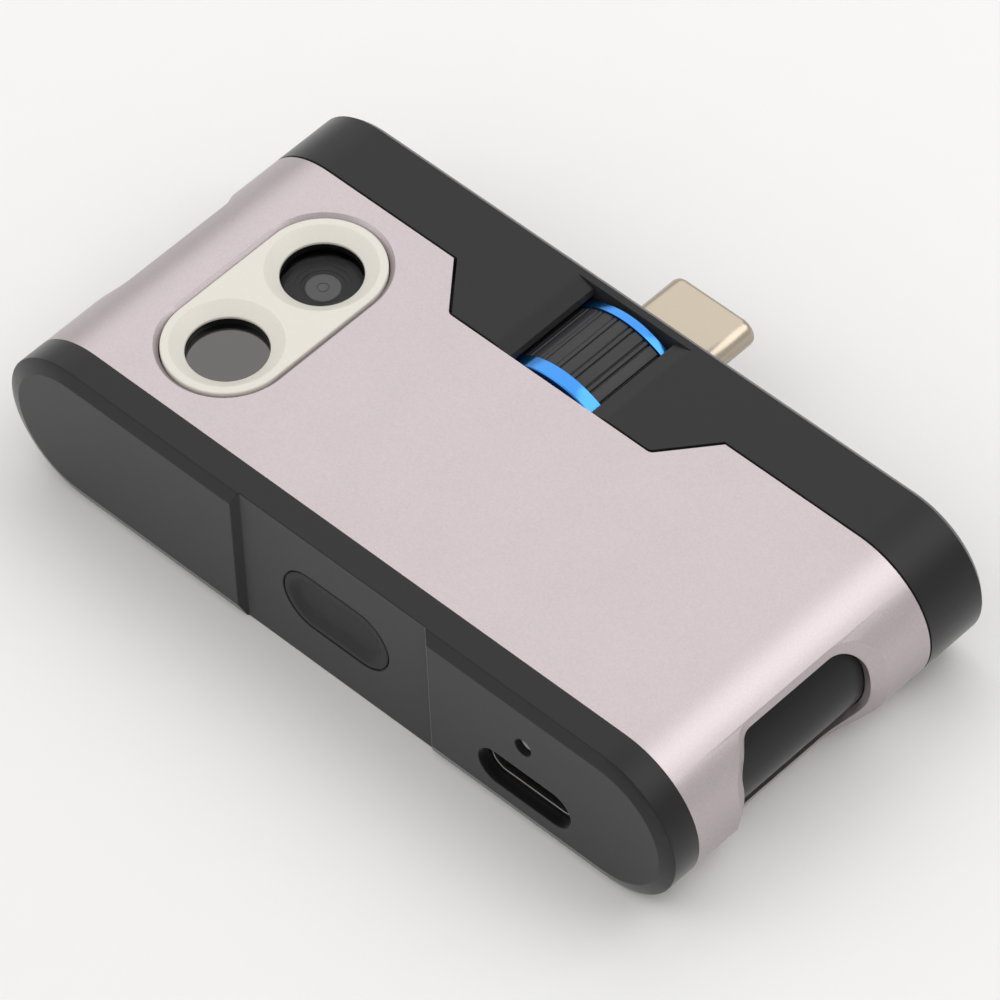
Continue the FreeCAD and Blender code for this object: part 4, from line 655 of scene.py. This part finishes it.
def plain_ring(tree, give, mean):
    """A ring with rounded edges around the Y axis, between its two ends."""
    wall = maths(tree, "SUBTRACT", give["Outer radius"], give["Inner radius"])
    width = maths(tree, "SUBTRACT", give["Far end"], give["Near end"])
    halfway = maths(tree, "MULTIPLY", maths(tree, "ADD", give["Far end"], give["Near end"]), 0.5)
    steps = maths(tree, "MULTIPLY", give["Pairs"], give["Steps per pair"])
    around = add_node(tree, "GeometryNodeCurvePrimitiveCircle", {}, {"Resolution": steps, "Radius": mean})
    section = add_node(tree, "GeometryNodeCurvePrimitiveQuadrilateral", {},
                       {"Width": wall, "Height": width})
    corners = add_node(tree, "GeometryNodeFilletCurve", {"mode": "POLY", "Count": 4, "Limit Radius": True},
                       {"Curve": section.outputs["Curve"], "Radius": give["Edge radius"]})
    skin = add_node(tree, "GeometryNodeCurveToMesh", {},
                    {"Curve": around.outputs["Curve"], "Profile Curve": corners.outputs["Curve"]})
    shift = add_node(tree, "ShaderNodeCombineXYZ", {}, {"Y": halfway, "Z": give["Axis height"]})
    upright = add_node(tree, "GeometryNodeTransform", {"Rotation": (math.pi / 2, 0, 0)},
                       {"Geometry": skin.outputs["Mesh"], "Translation": shift.outputs["Vector"]})
    return upright.outputs["Geometry"]


def groove_share(tree, give, side, height):
    """How deep in a groove a point of the ring lies, from 0 on the lands to 1 on the groove's floor."""
    below = maths(tree, "MULTIPLY", height, -1.0)
    turn = maths(tree, "DIVIDE", maths(tree, "ARCTAN2", side, below), math.tau)
    pair = maths(tree, "MULTIPLY", turn, give["Pairs"])
    off = maths(tree, "ABSOLUTE", maths(tree, "SUBTRACT", pair, maths(tree, "ROUND", pair)))
    pitch = maths(tree, "DIVIDE", maths(tree, "MULTIPLY", give["Outer radius"], math.tau), give["Pairs"])
    arc = maths(tree, "MULTIPLY", off, pitch)
    groove = maths(tree, "MULTIPLY", give["Groove spacing"], 0.5)
    from_groove = maths(tree, "ABSOLUTE", maths(tree, "SUBTRACT", arc, groove))
    half = maths(tree, "MULTIPLY", give["Groove width"], 0.5)
    dip = add_node(tree, "ShaderNodeMapRange",
                   {"interpolation_type": "SMOOTHSTEP", "To Min": 1.0, "To Max": 0.0},
                   {"Value": from_groove, "From Min": maths(tree, "MULTIPLY", half, GROOVE_FLOOR),
                    "From Max": maths(tree, "MULTIPLY", half, GROOVE_LIP)})
    return dip.outputs["Result"]


def ribbed_ring(name, slot, values):
    """A ring around the Y axis with pairs of grooves across its outside."""
    tree = bpy.data.node_groups.new("ribbed_ring", "GeometryNodeTree")
    lengths = ("Inner radius", "Outer radius", "Near end", "Far end", "Axis height", "Edge radius",
               "Groove width", "Groove depth", "Groove spacing")
    given, sockets = input_sockets(tree, {
        **dict.fromkeys(lengths, "NodeSocketFloat"), "Pairs": "NodeSocketInt",
        "Steps per pair": "NodeSocketInt", "Finish": "NodeSocketMaterial"})
    give = given.outputs
    mean = maths(tree, "MULTIPLY", maths(tree, "ADD", give["Outer radius"], give["Inner radius"]), 0.5)
    ring = plain_ring(tree, give, mean)
    spot = add_node(tree, "ShaderNodeSeparateXYZ", {},
                    {"Vector": add_node(tree, "GeometryNodeInputPosition").outputs["Position"]})
    side, height = spot.outputs["X"], maths(tree, "SUBTRACT", spot.outputs["Z"], give["Axis height"])
    reach = maths(tree, "SQRT", maths(tree, "ADD", maths(tree, "MULTIPLY", side, side),
                                      maths(tree, "MULTIPLY", height, height)))
    outside = maths(tree, "GREATER_THAN", reach, mean)
    share = maths(tree, "MULTIPLY", groove_share(tree, give, side, height), outside)
    drop = maths(tree, "MULTIPLY", share, give["Groove depth"])
    factor = maths(tree, "DIVIDE", maths(tree, "SUBTRACT", reach, drop), reach)
    place = add_node(tree, "ShaderNodeCombineXYZ", {}, {
        "X": maths(tree, "MULTIPLY", side, factor), "Y": spot.outputs["Y"],
        "Z": maths(tree, "ADD", maths(tree, "MULTIPLY", height, factor), give["Axis height"])})
    cut = add_node(tree, "GeometryNodeSetPosition", {},
                   {"Geometry": ring, "Position": place.outputs["Vector"]})
    end_tree(tree, cut.outputs["Geometry"], give["Finish"])
    piece = new_piece(name, bpy.data.meshes.new(name))
    return grown(piece, tree, sockets, {**values, "Finish": material_of(slot)})


# -------- casing
class MakeSleeve(bpy.types.Operator):
    """Make the aluminium sleeve with its broken edges"""
    bl_idname = "thermal_camera.make_sleeve"
    bl_label = "Make sleeve"

    def execute(self, context):
        soften_node("sleeve", "sleeve_shell", "case", "sleeve_metal", settings("casing").sleeve_edge)
        return {"FINISHED"}


class MakeCaps(bpy.types.Operator):
    """Make the two moulded caps"""
    bl_idname = "thermal_camera.make_caps"
    bl_label = "Make caps"

    def execute(self, context):
        for node, name in (("port_cap", "port_side_cap"), ("plug_cap", "plug_side_cap")):
            soften_node(node, name, "case", "cap_plastic", settings("casing").cap_edge)
        return {"FINISHED"}


class MakeInnerFrame(bpy.types.Operator):
    """Make the moulded frame that shows in the finger openings and around the lenses"""
    bl_idname = "thermal_camera.make_inner_frame"
    bl_label = "Make inner frame"

    def execute(self, context):
        soften_node("inner_frame", "moulded_frame", "case", "frame_plastic", settings("casing").frame_edge)
        return {"FINISHED"}


class MakeBezel(bpy.types.Operator):
    """Make the pale lens bezel"""
    bl_idname = "thermal_camera.make_bezel"
    bl_label = "Make bezel"

    def execute(self, context):
        casing = settings("casing")
        low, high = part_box("lens_bezel")
        centre, radius = (low + high) / 2, (high.x - low.x) / 2
        reach = (high.y - low.y) / 2 - radius

        def share(edge):
            spot = (edge.verts[0].co + edge.verts[1].co) / 2 - centre
            along = max(-reach, min(reach, spot.y))
            on_rim = math.hypot(spot.x, spot.y - along) > radius * BEZEL_RIM
            return 1.0 if on_rim else casing.bezel_hole_edge / casing.bezel_edge

        bezel = softened("lens_surround", merged_copy("lens_bezel"), casing.bezel_edge, share, steps=4)
        stand_in(bezel, "case", "bezel_plastic", "lens_bezel")
        return {"FINISHED"}


class MakeEye(bpy.types.Operator):
    """Make the stepped barrel and the ringed lens of the small camera"""
    bl_idname = "thermal_camera.make_eye"
    bl_label = "Make camera eye"

    def execute(self, context):
        eye = settings("eye")
        low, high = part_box("camera_eye")
        lens_low, lens_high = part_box("camera_lens")
        centre = (low + high) / 2
        outer, inner = (high.x - low.x) / 2, (lens_high.x - lens_low.x) / 2
        step, edge, top = eye.baffle_step, eye.barrel_edge, high.z
        land = (outer - inner) / 4
        # up the outside, over the top and down two steps to the lens
        profile = [(outer, low.z), (outer, top - edge), (outer - edge, top), (inner + 2 * land, top),
                   (inner + 2 * land, top - step / 2), (inner + land, top - step / 2),
                   (inner + land, top - step), (inner, top - step), (inner, low.z)]
        barrel = lathed("stepped_barrel", profile, centre, closed=True)
        stand_in(barrel, "case", "camera_plastic", "camera_eye")
        ring, width, dip, top = eye.pupil_ring, eye.ring_width, eye.ring_width / 2, lens_high.z
        # up the edge, across the top, through the ring and into the shallow pupil
        profile = [(inner, lens_low.z), (inner, top - dip), (inner - dip, top), (ring + width / 2, top),
                   (ring + width / 4, top - dip), (ring - width / 4, top - dip), (ring - width / 2, top),
                   (ring / 2, top), (ring / 4, top - dip / 4)]
        lens = lathed("ringed_lens", profile, centre)
        stand_in(lens, "case", "eye_glass", "camera_lens")
        return {"FINISHED"}


# -------- dial and plug
def turned_spots(node, axis_height):
    """Radius and station of every vertex of a turned CAD node, about an axis along Y."""
    return {(round(math.hypot(vert.co.x, vert.co.z - axis_height), 6), round(vert.co.y, 6))
            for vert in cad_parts[node].data.vertices}


class MakeDial(bpy.types.Operator):
    """Make the blue rims and the ribbed tread of the dial"""
    bl_idname = "thermal_camera.make_dial"
    bl_label = "Make dial"

    def execute(self, context):
        dial = settings("dial")
        low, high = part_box("dial_tread")
        axis_height = (low.z + high.z) / 2
        inner = min(radius for radius, station in turned_spots("dial_tread", axis_height))
        spots = turned_spots("dial_ring", axis_height)
        rim, bore = max(spots)[0], min(spots)[0]
        near, end = (limit(station for radius, station in spots) for limit in (min, max))
        journal = max(radius for radius, station in spots if station == end)
        far = max(station for radius, station in spots if radius > journal)
        edge = dial.rim_edge
        arc = quarter_arc(edge, edge, steps=6)
        # the near rim, the seat of the tread, the far rim and the journal behind it
        profile = [(bore, near)] + [(rim - edge + out, near + up) for out, up in arc]
        profile += [(rim, low.y), (inner, low.y), (inner, high.y), (rim, high.y)]
        profile += [(rim - edge + out, far - up) for out, up in reversed(arc)]
        profile += [(journal, far), (journal, end), (bore, end)]
        rims = lathed("dial_rims", profile, (0.0, 0.0, axis_height), axis=1, closed=True, steps=RIM_STEPS)
        stand_in(rims, "dial", "dial_metal", "dial_ring")
        tread = ribbed_ring("ribbed_tread", "tread_rubber", {
            "Inner radius": inner, "Outer radius": (high.x - low.x) / 2, "Near end": low.y,
            "Far end": high.y, "Axis height": axis_height, "Edge radius": dial.tread_edge,
            "Pairs": dial.groove_pairs, "Steps per pair": PAIR_STEPS, "Groove width": dial.groove_width,
            "Groove depth": dial.groove_depth, "Groove spacing": dial.groove_spacing})
        stand_in(tread, "dial", "tread_rubber", "dial_tread")
        return {"FINISHED"}


def contact_rows(name, node, bow, upper=(0.0, 0.0, 0.0), lower=(0.0, math.pi, 0.0)):
    """The contacts of a node as bowed strips, with a turn for those above the middle and those below."""
    boxes = solids_of(node)
    spots = [(low + high) / 2 for low, high in boxes]
    level = sum(spot.z for spot in spots) / len(spots)
    turns = [upper if spot.z > level else lower for spot in spots]
    sample = contact_strip(boxes[0][1] - boxes[0][0], bow)
    return repeated(name, spots, turns, sample, "contact_gold")


class MakePlug(bpy.types.Operator):
    """Make the plug's drawn shell with its rolled tip, and its contacts"""
    bl_idname = "thermal_camera.make_plug"
    bl_label = "Make plug"

    def execute(self, context):
        plug = settings("plug")
        low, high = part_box("plug_shell")
        width, height, centre = high.x - low.x, high.z - low.z, (low + high) / 2

        def ring(inset, y):
            return [Vector((point.x, y, centre.z + point.y)) for point in
                    rounded_slot(width - 2 * inset, height - 2 * inset, height / 2 - inset)]

        wall, start, mouth = plug.wall, high.y - plug.tip_radius, plug.tip_radius * MOUTH
        roll = [ring(inward, start + along) for along, inward in quarter_arc(plug.tip_radius, mouth)]
        lip = [ring(mouth + wall * inward, high.y - wall * back) for inward, back in LIP]
        rings = [ring(0.0, low.y), *roll, *lip, ring(wall, start), ring(wall, low.y)]
        shell = lofted("plug_sleeve", rings, closed=True)
        stand_in(shell, "connector", "plug_metal", "plug_shell")
        strips = contact_rows("plug_springs", "plug_contacts", plug.contact_bow)
        stand_in(strips, "connector", "contact_gold", "plug_contacts")
        return {"FINISHED"}


# -------- button, port, light and inner parts
class MakeButton(bpy.types.Operator):
    """Make the dished power button"""
    bl_idname = "thermal_camera.make_button"
    bl_label = "Make button"

    def execute(self, context):
        soften_node("power_button", "power_key", "button", "button_rubber", settings("button").button_edge)
        return {"FINISHED"}


class MakePort(bpy.types.Operator):
    """Make the charging port and the end of the light pipe"""
    bl_idname = "thermal_camera.make_port"
    bl_label = "Make charging port"

    def execute(self, context):
        button = settings("button")
        soften_node("charging_port_shell", "charging_shell", "case", "port_metal", button.port_edge)
        soften_node("charging_port_tongue", "charging_tongue", "case", "plug_plastic", button.tongue_edge)
        pads = contact_rows("charging_contacts", "charging_port_contacts", 0.0, (0.0, 0.0, math.pi),
                            (math.pi, 0.0, 0.0))
        stand_in(pads, "case", "contact_gold", "charging_port_contacts")
        low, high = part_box("light_pipe")
        radius = (high.x - low.x) / 2
        dome = [(out, low.y + up) for out, up in quarter_arc(radius, button.light_dome)[1:]]
        pipe = lathed("domed_light_pipe", dome + [(radius, high.y)], (low + high) / 2, axis=1)
        stand_in(pipe, "case", "light_resin", "light_pipe")
        return {"FINISHED"}


# Each kind of screw: its node, its name, the axis that it lies along and which way its head faces.
SCREWS = (("board_screws", "main_board_screws", 2, 1),
          ("button_board_screws", "small_board_screws", 1, 1),
          ("dial_retainer_screws", "retainer_plate_screws", 1, -1))


class MakeScrews(bpy.types.Operator):
    """Make the screws that hold the boards and the dial's retainers"""
    bl_idname = "thermal_camera.make_screws"
    bl_label = "Make screws"

    def execute(self, context):
        for node, name, axis, heading in SCREWS:
            boxes = solids_of(node)
            extent = boxes[0][1] - boxes[0][0]
            head = extent.x / 2
            thick = shank = head / 2
            spots = []
            for low, high in boxes:
                spot = (low + high) / 2
                spot[axis] = high[axis] - thick if heading > 0 else low[axis] + thick
                spots.append(spot)
            turn = (0.0, 0.0, 0.0) if axis == 2 else (-heading * math.pi / 2, 0.0, 0.0)
            sample = pan_head_screw(extent[axis] - thick, shank, head, thick)
            screws = repeated(name, spots, [turn] * len(spots), sample, "screw_steel")
            stand_in(screws, "case", "screw_steel", node)
        return {"FINISHED"}


class FinishInside(bpy.types.Operator):
    """Give every other part its own finish"""
    bl_idname = "thermal_camera.finish_inside"
    bl_label = "Finish inner parts"

    def execute(self, context):
        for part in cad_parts.values():
            if not part.hide_render:
                # each material is named for its slot, and Blender may have added a number
                for slot in part.material_slots:
                    slot.material = material_of(slot.material.name.split(".")[0])
        return {"FINISHED"}


# -------- studio
UNDER = 1e-5                         # from the object's underside down to the floor
FLOOR_RADIUS = 2.5                   # in metres
FIBRE = 4 * MM                       # width of the floor's faint mottling
FIBRE_SHADE = 0.985                  # colour of its darker parts, as a share of the floor's
SKY_SIDE = (0.15, -0.5, 0.85)        # side of the surround that is brightest
SKY_EDGE = -0.1                      # cosine of the angle from that side at which it is darkest
SENSOR = 36.0                        # width of the camera's sensor in mm
NEAREST, FARTHEST = 0.01, 20.0       # how near and how far the camera sees, in metres

# Each lamp: its name, the setting with its power, its direction from the target, and its distance and
# width in metres.
LAMPS = (("key_lamp", "key_power", (0.43, 0.45, 0.78), 0.6, 0.4),
         ("fill_lamp", "fill_power", (-0.5, -0.55, 0.67), 0.7, 0.5),
         ("top_lamp", "top_power", (-0.46, 0.45, 0.76), 0.6, 0.6))


def make_floor(studio):
    """A wide round floor under the object."""
    shape = bmesh.new()
    bmesh.ops.create_circle(shape, cap_ends=True, segments=96, radius=FLOOR_RADIUS,
                            matrix=Matrix.Translation((0.0, 0.0, -UNDER)))
    floor = piece_from("floor", shape)
    paper = bpy.data.materials.new("matt_paper")
    paper.use_nodes = True
    tree = paper.node_tree
    shader = tree.nodes["Principled BSDF"]
    shader.inputs["Roughness"].default_value = 0.9
    shader.inputs["Specular IOR Level"].default_value = 0.2
    place = add_node(tree, "ShaderNodeTexCoord")
    fibres = add_node(tree, "ShaderNodeTexNoise", {"Scale": 1 / FIBRE, "Detail": 4.0},
                      {"Vector": place.outputs["Object"]})
    pale = tuple(studio.floor_colour)
    dim = tuple(part * FIBRE_SHADE for part in pale[:3]) + (1.0,)
    paint = add_node(tree, "ShaderNodeMix", {"data_type": "RGBA", 6: dim, 7: pale},
                     {0: fibres.outputs["Fac"]})
    tree.links.new(paint.outputs[2], shader.inputs["Base Color"])
    floor.data.materials.append(paper)


def make_surround(studio):
    """Soft light that is stronger from one side, and the backdrop's colour where the surround is seen."""
    world = bpy.data.worlds.new("surround")
    world.use_nodes = True
    tree = world.node_tree
    tree.nodes.clear()
    rays = add_node(tree, "ShaderNodeLightPath").outputs
    seen = maths(tree, "MAXIMUM", rays["Is Camera Ray"], rays["Is Glossy Ray"])
    seen = maths(tree, "MAXIMUM", seen, rays["Is Transmission Ray"])
    place = add_node(tree, "ShaderNodeTexCoord")
    toward = add_node(tree, "ShaderNodeVectorMath",
                      {"operation": "DOT_PRODUCT", 1: Vector(SKY_SIDE).normalized()},
                      {0: place.outputs["Generated"]})
    level = add_node(tree, "ShaderNodeMapRange",
                     {"From Min": SKY_EDGE, "To Min": studio.sky_low, "To Max": studio.sky_high},
                     {"Value": toward.outputs["Value"]})
    light = add_node(tree, "ShaderNodeBackground", {"Color": (1.0, 1.0, 1.0, 1.0)},
                     {"Strength": level.outputs["Result"]})
    backdrop = add_node(tree, "ShaderNodeBackground",
                        {"Color": tuple(studio.backdrop_colour), "Strength": 1.0})
    both = add_node(tree, "ShaderNodeMixShader", {}, {
        0: seen, 1: light.outputs["Background"], 2: backdrop.outputs["Background"]})
    add_node(tree, "ShaderNodeOutputWorld", {}, {"Surface": both.outputs["Shader"]})
    return world


def make_lamp(name, watts, target, direction, distance, width):
    """A square soft lamp that faces the target."""
    light = bpy.data.lights.new(name, "AREA")
    light.shape, light.size, light.energy = "SQUARE", width, watts
    lamp = new_piece(name, light)
    way = Vector(direction).normalized()
    facing = way.to_track_quat("Z", "Y").to_matrix().to_4x4()
    lamp.matrix_world = Matrix.Translation(target + way * distance) @ facing


def make_camera(studio, target):
    """The camera, turned towards the target and about its own axis."""
    turn, rise, roll = studio.azimuth, studio.elevation, studio.roll
    back = Vector((math.sin(turn) * math.cos(rise), -math.cos(turn) * math.cos(rise), math.sin(rise)))
    across = Vector((0, 0, 1)).cross(back).normalized()
    upward = back.cross(across)
    right = math.cos(roll) * across + math.sin(roll) * upward
    above = math.cos(roll) * upward - math.sin(roll) * across
    lens = bpy.data.cameras.new("camera")
    lens.lens, lens.sensor_width = studio.lens, SENSOR
    lens.clip_start, lens.clip_end = NEAREST, FARTHEST
    camera = new_piece("camera", lens)
    facing = Matrix((right, above, back)).transposed().to_4x4()
    camera.matrix_world = Matrix.Translation(target + back * studio.distance) @ facing
    return camera


class MakeStudio(bpy.types.Operator):
    """Make the floor, the soft lamps, the surround and the camera"""
    bl_idname = "thermal_camera.make_studio"
    bl_label = "Make studio"

    def execute(self, context):
        studio, scene = settings("studio"), context.scene
        scene.view_settings.view_transform = "Standard"
        target = Vector(studio.target)
        make_floor(studio)
        scene.world = make_surround(studio)
        for name, setting, direction, distance, width in LAMPS:
            make_lamp(name, getattr(studio, setting), target, direction, distance, width)
        bpy.context.scene.camera = make_camera(studio, target)
        return {"FINISHED"}


# -------- panel and registration
OPERATORS = (MakeSleeve, MakeCaps, MakeInnerFrame, MakeBezel, MakeEye, MakeDial, MakePlug, MakeButton,
             MakePort, MakeScrews, FinishInside, MakeStudio)


class ThermalCameraPanel(bpy.types.Panel):
    """Settings and steps of the pocket thermal camera"""
    bl_idname = "VIEW3D_PT_thermal_camera"
    bl_label = "Pocket thermal camera"
    bl_space_type = "VIEW_3D"
    bl_region_type = "UI"
    bl_category = "Thermal camera"

    def draw(self, context):
        for name, group in GROUPS.items():
            box = self.layout.box()
            box.label(text=name.capitalize())
            for setting in group.__annotations__:
                box.prop(settings(name), setting)
        for operator in OPERATORS:
            self.layout.operator(operator.bl_idname)


def register():
    """Registers the settings, the operators and the panel."""
    for group in GROUPS.values():
        bpy.utils.register_class(group)
    for name, group in GROUPS.items():
        setattr(bpy.types.Scene, f"thermal_camera_{name}", bpy.props.PointerProperty(type=group))
    for kind in (*OPERATORS, ThermalCameraPanel):
        bpy.utils.register_class(kind)


def unregister():
    """Takes away what register adds, in the opposite order."""
    for kind in reversed((*OPERATORS, ThermalCameraPanel)):
        bpy.utils.unregister_class(kind)
    for name in GROUPS:
        delattr(bpy.types.Scene, f"thermal_camera_{name}")
    for group in reversed(GROUPS.values()):
        bpy.utils.unregister_class(group)


def main():
    """Makes every piece in order."""
    register()
    for operator in OPERATORS:
        getattr(bpy.ops.thermal_camera, operator.bl_idname.split(".")[1])()


if __name__ == "__main__":
    main()
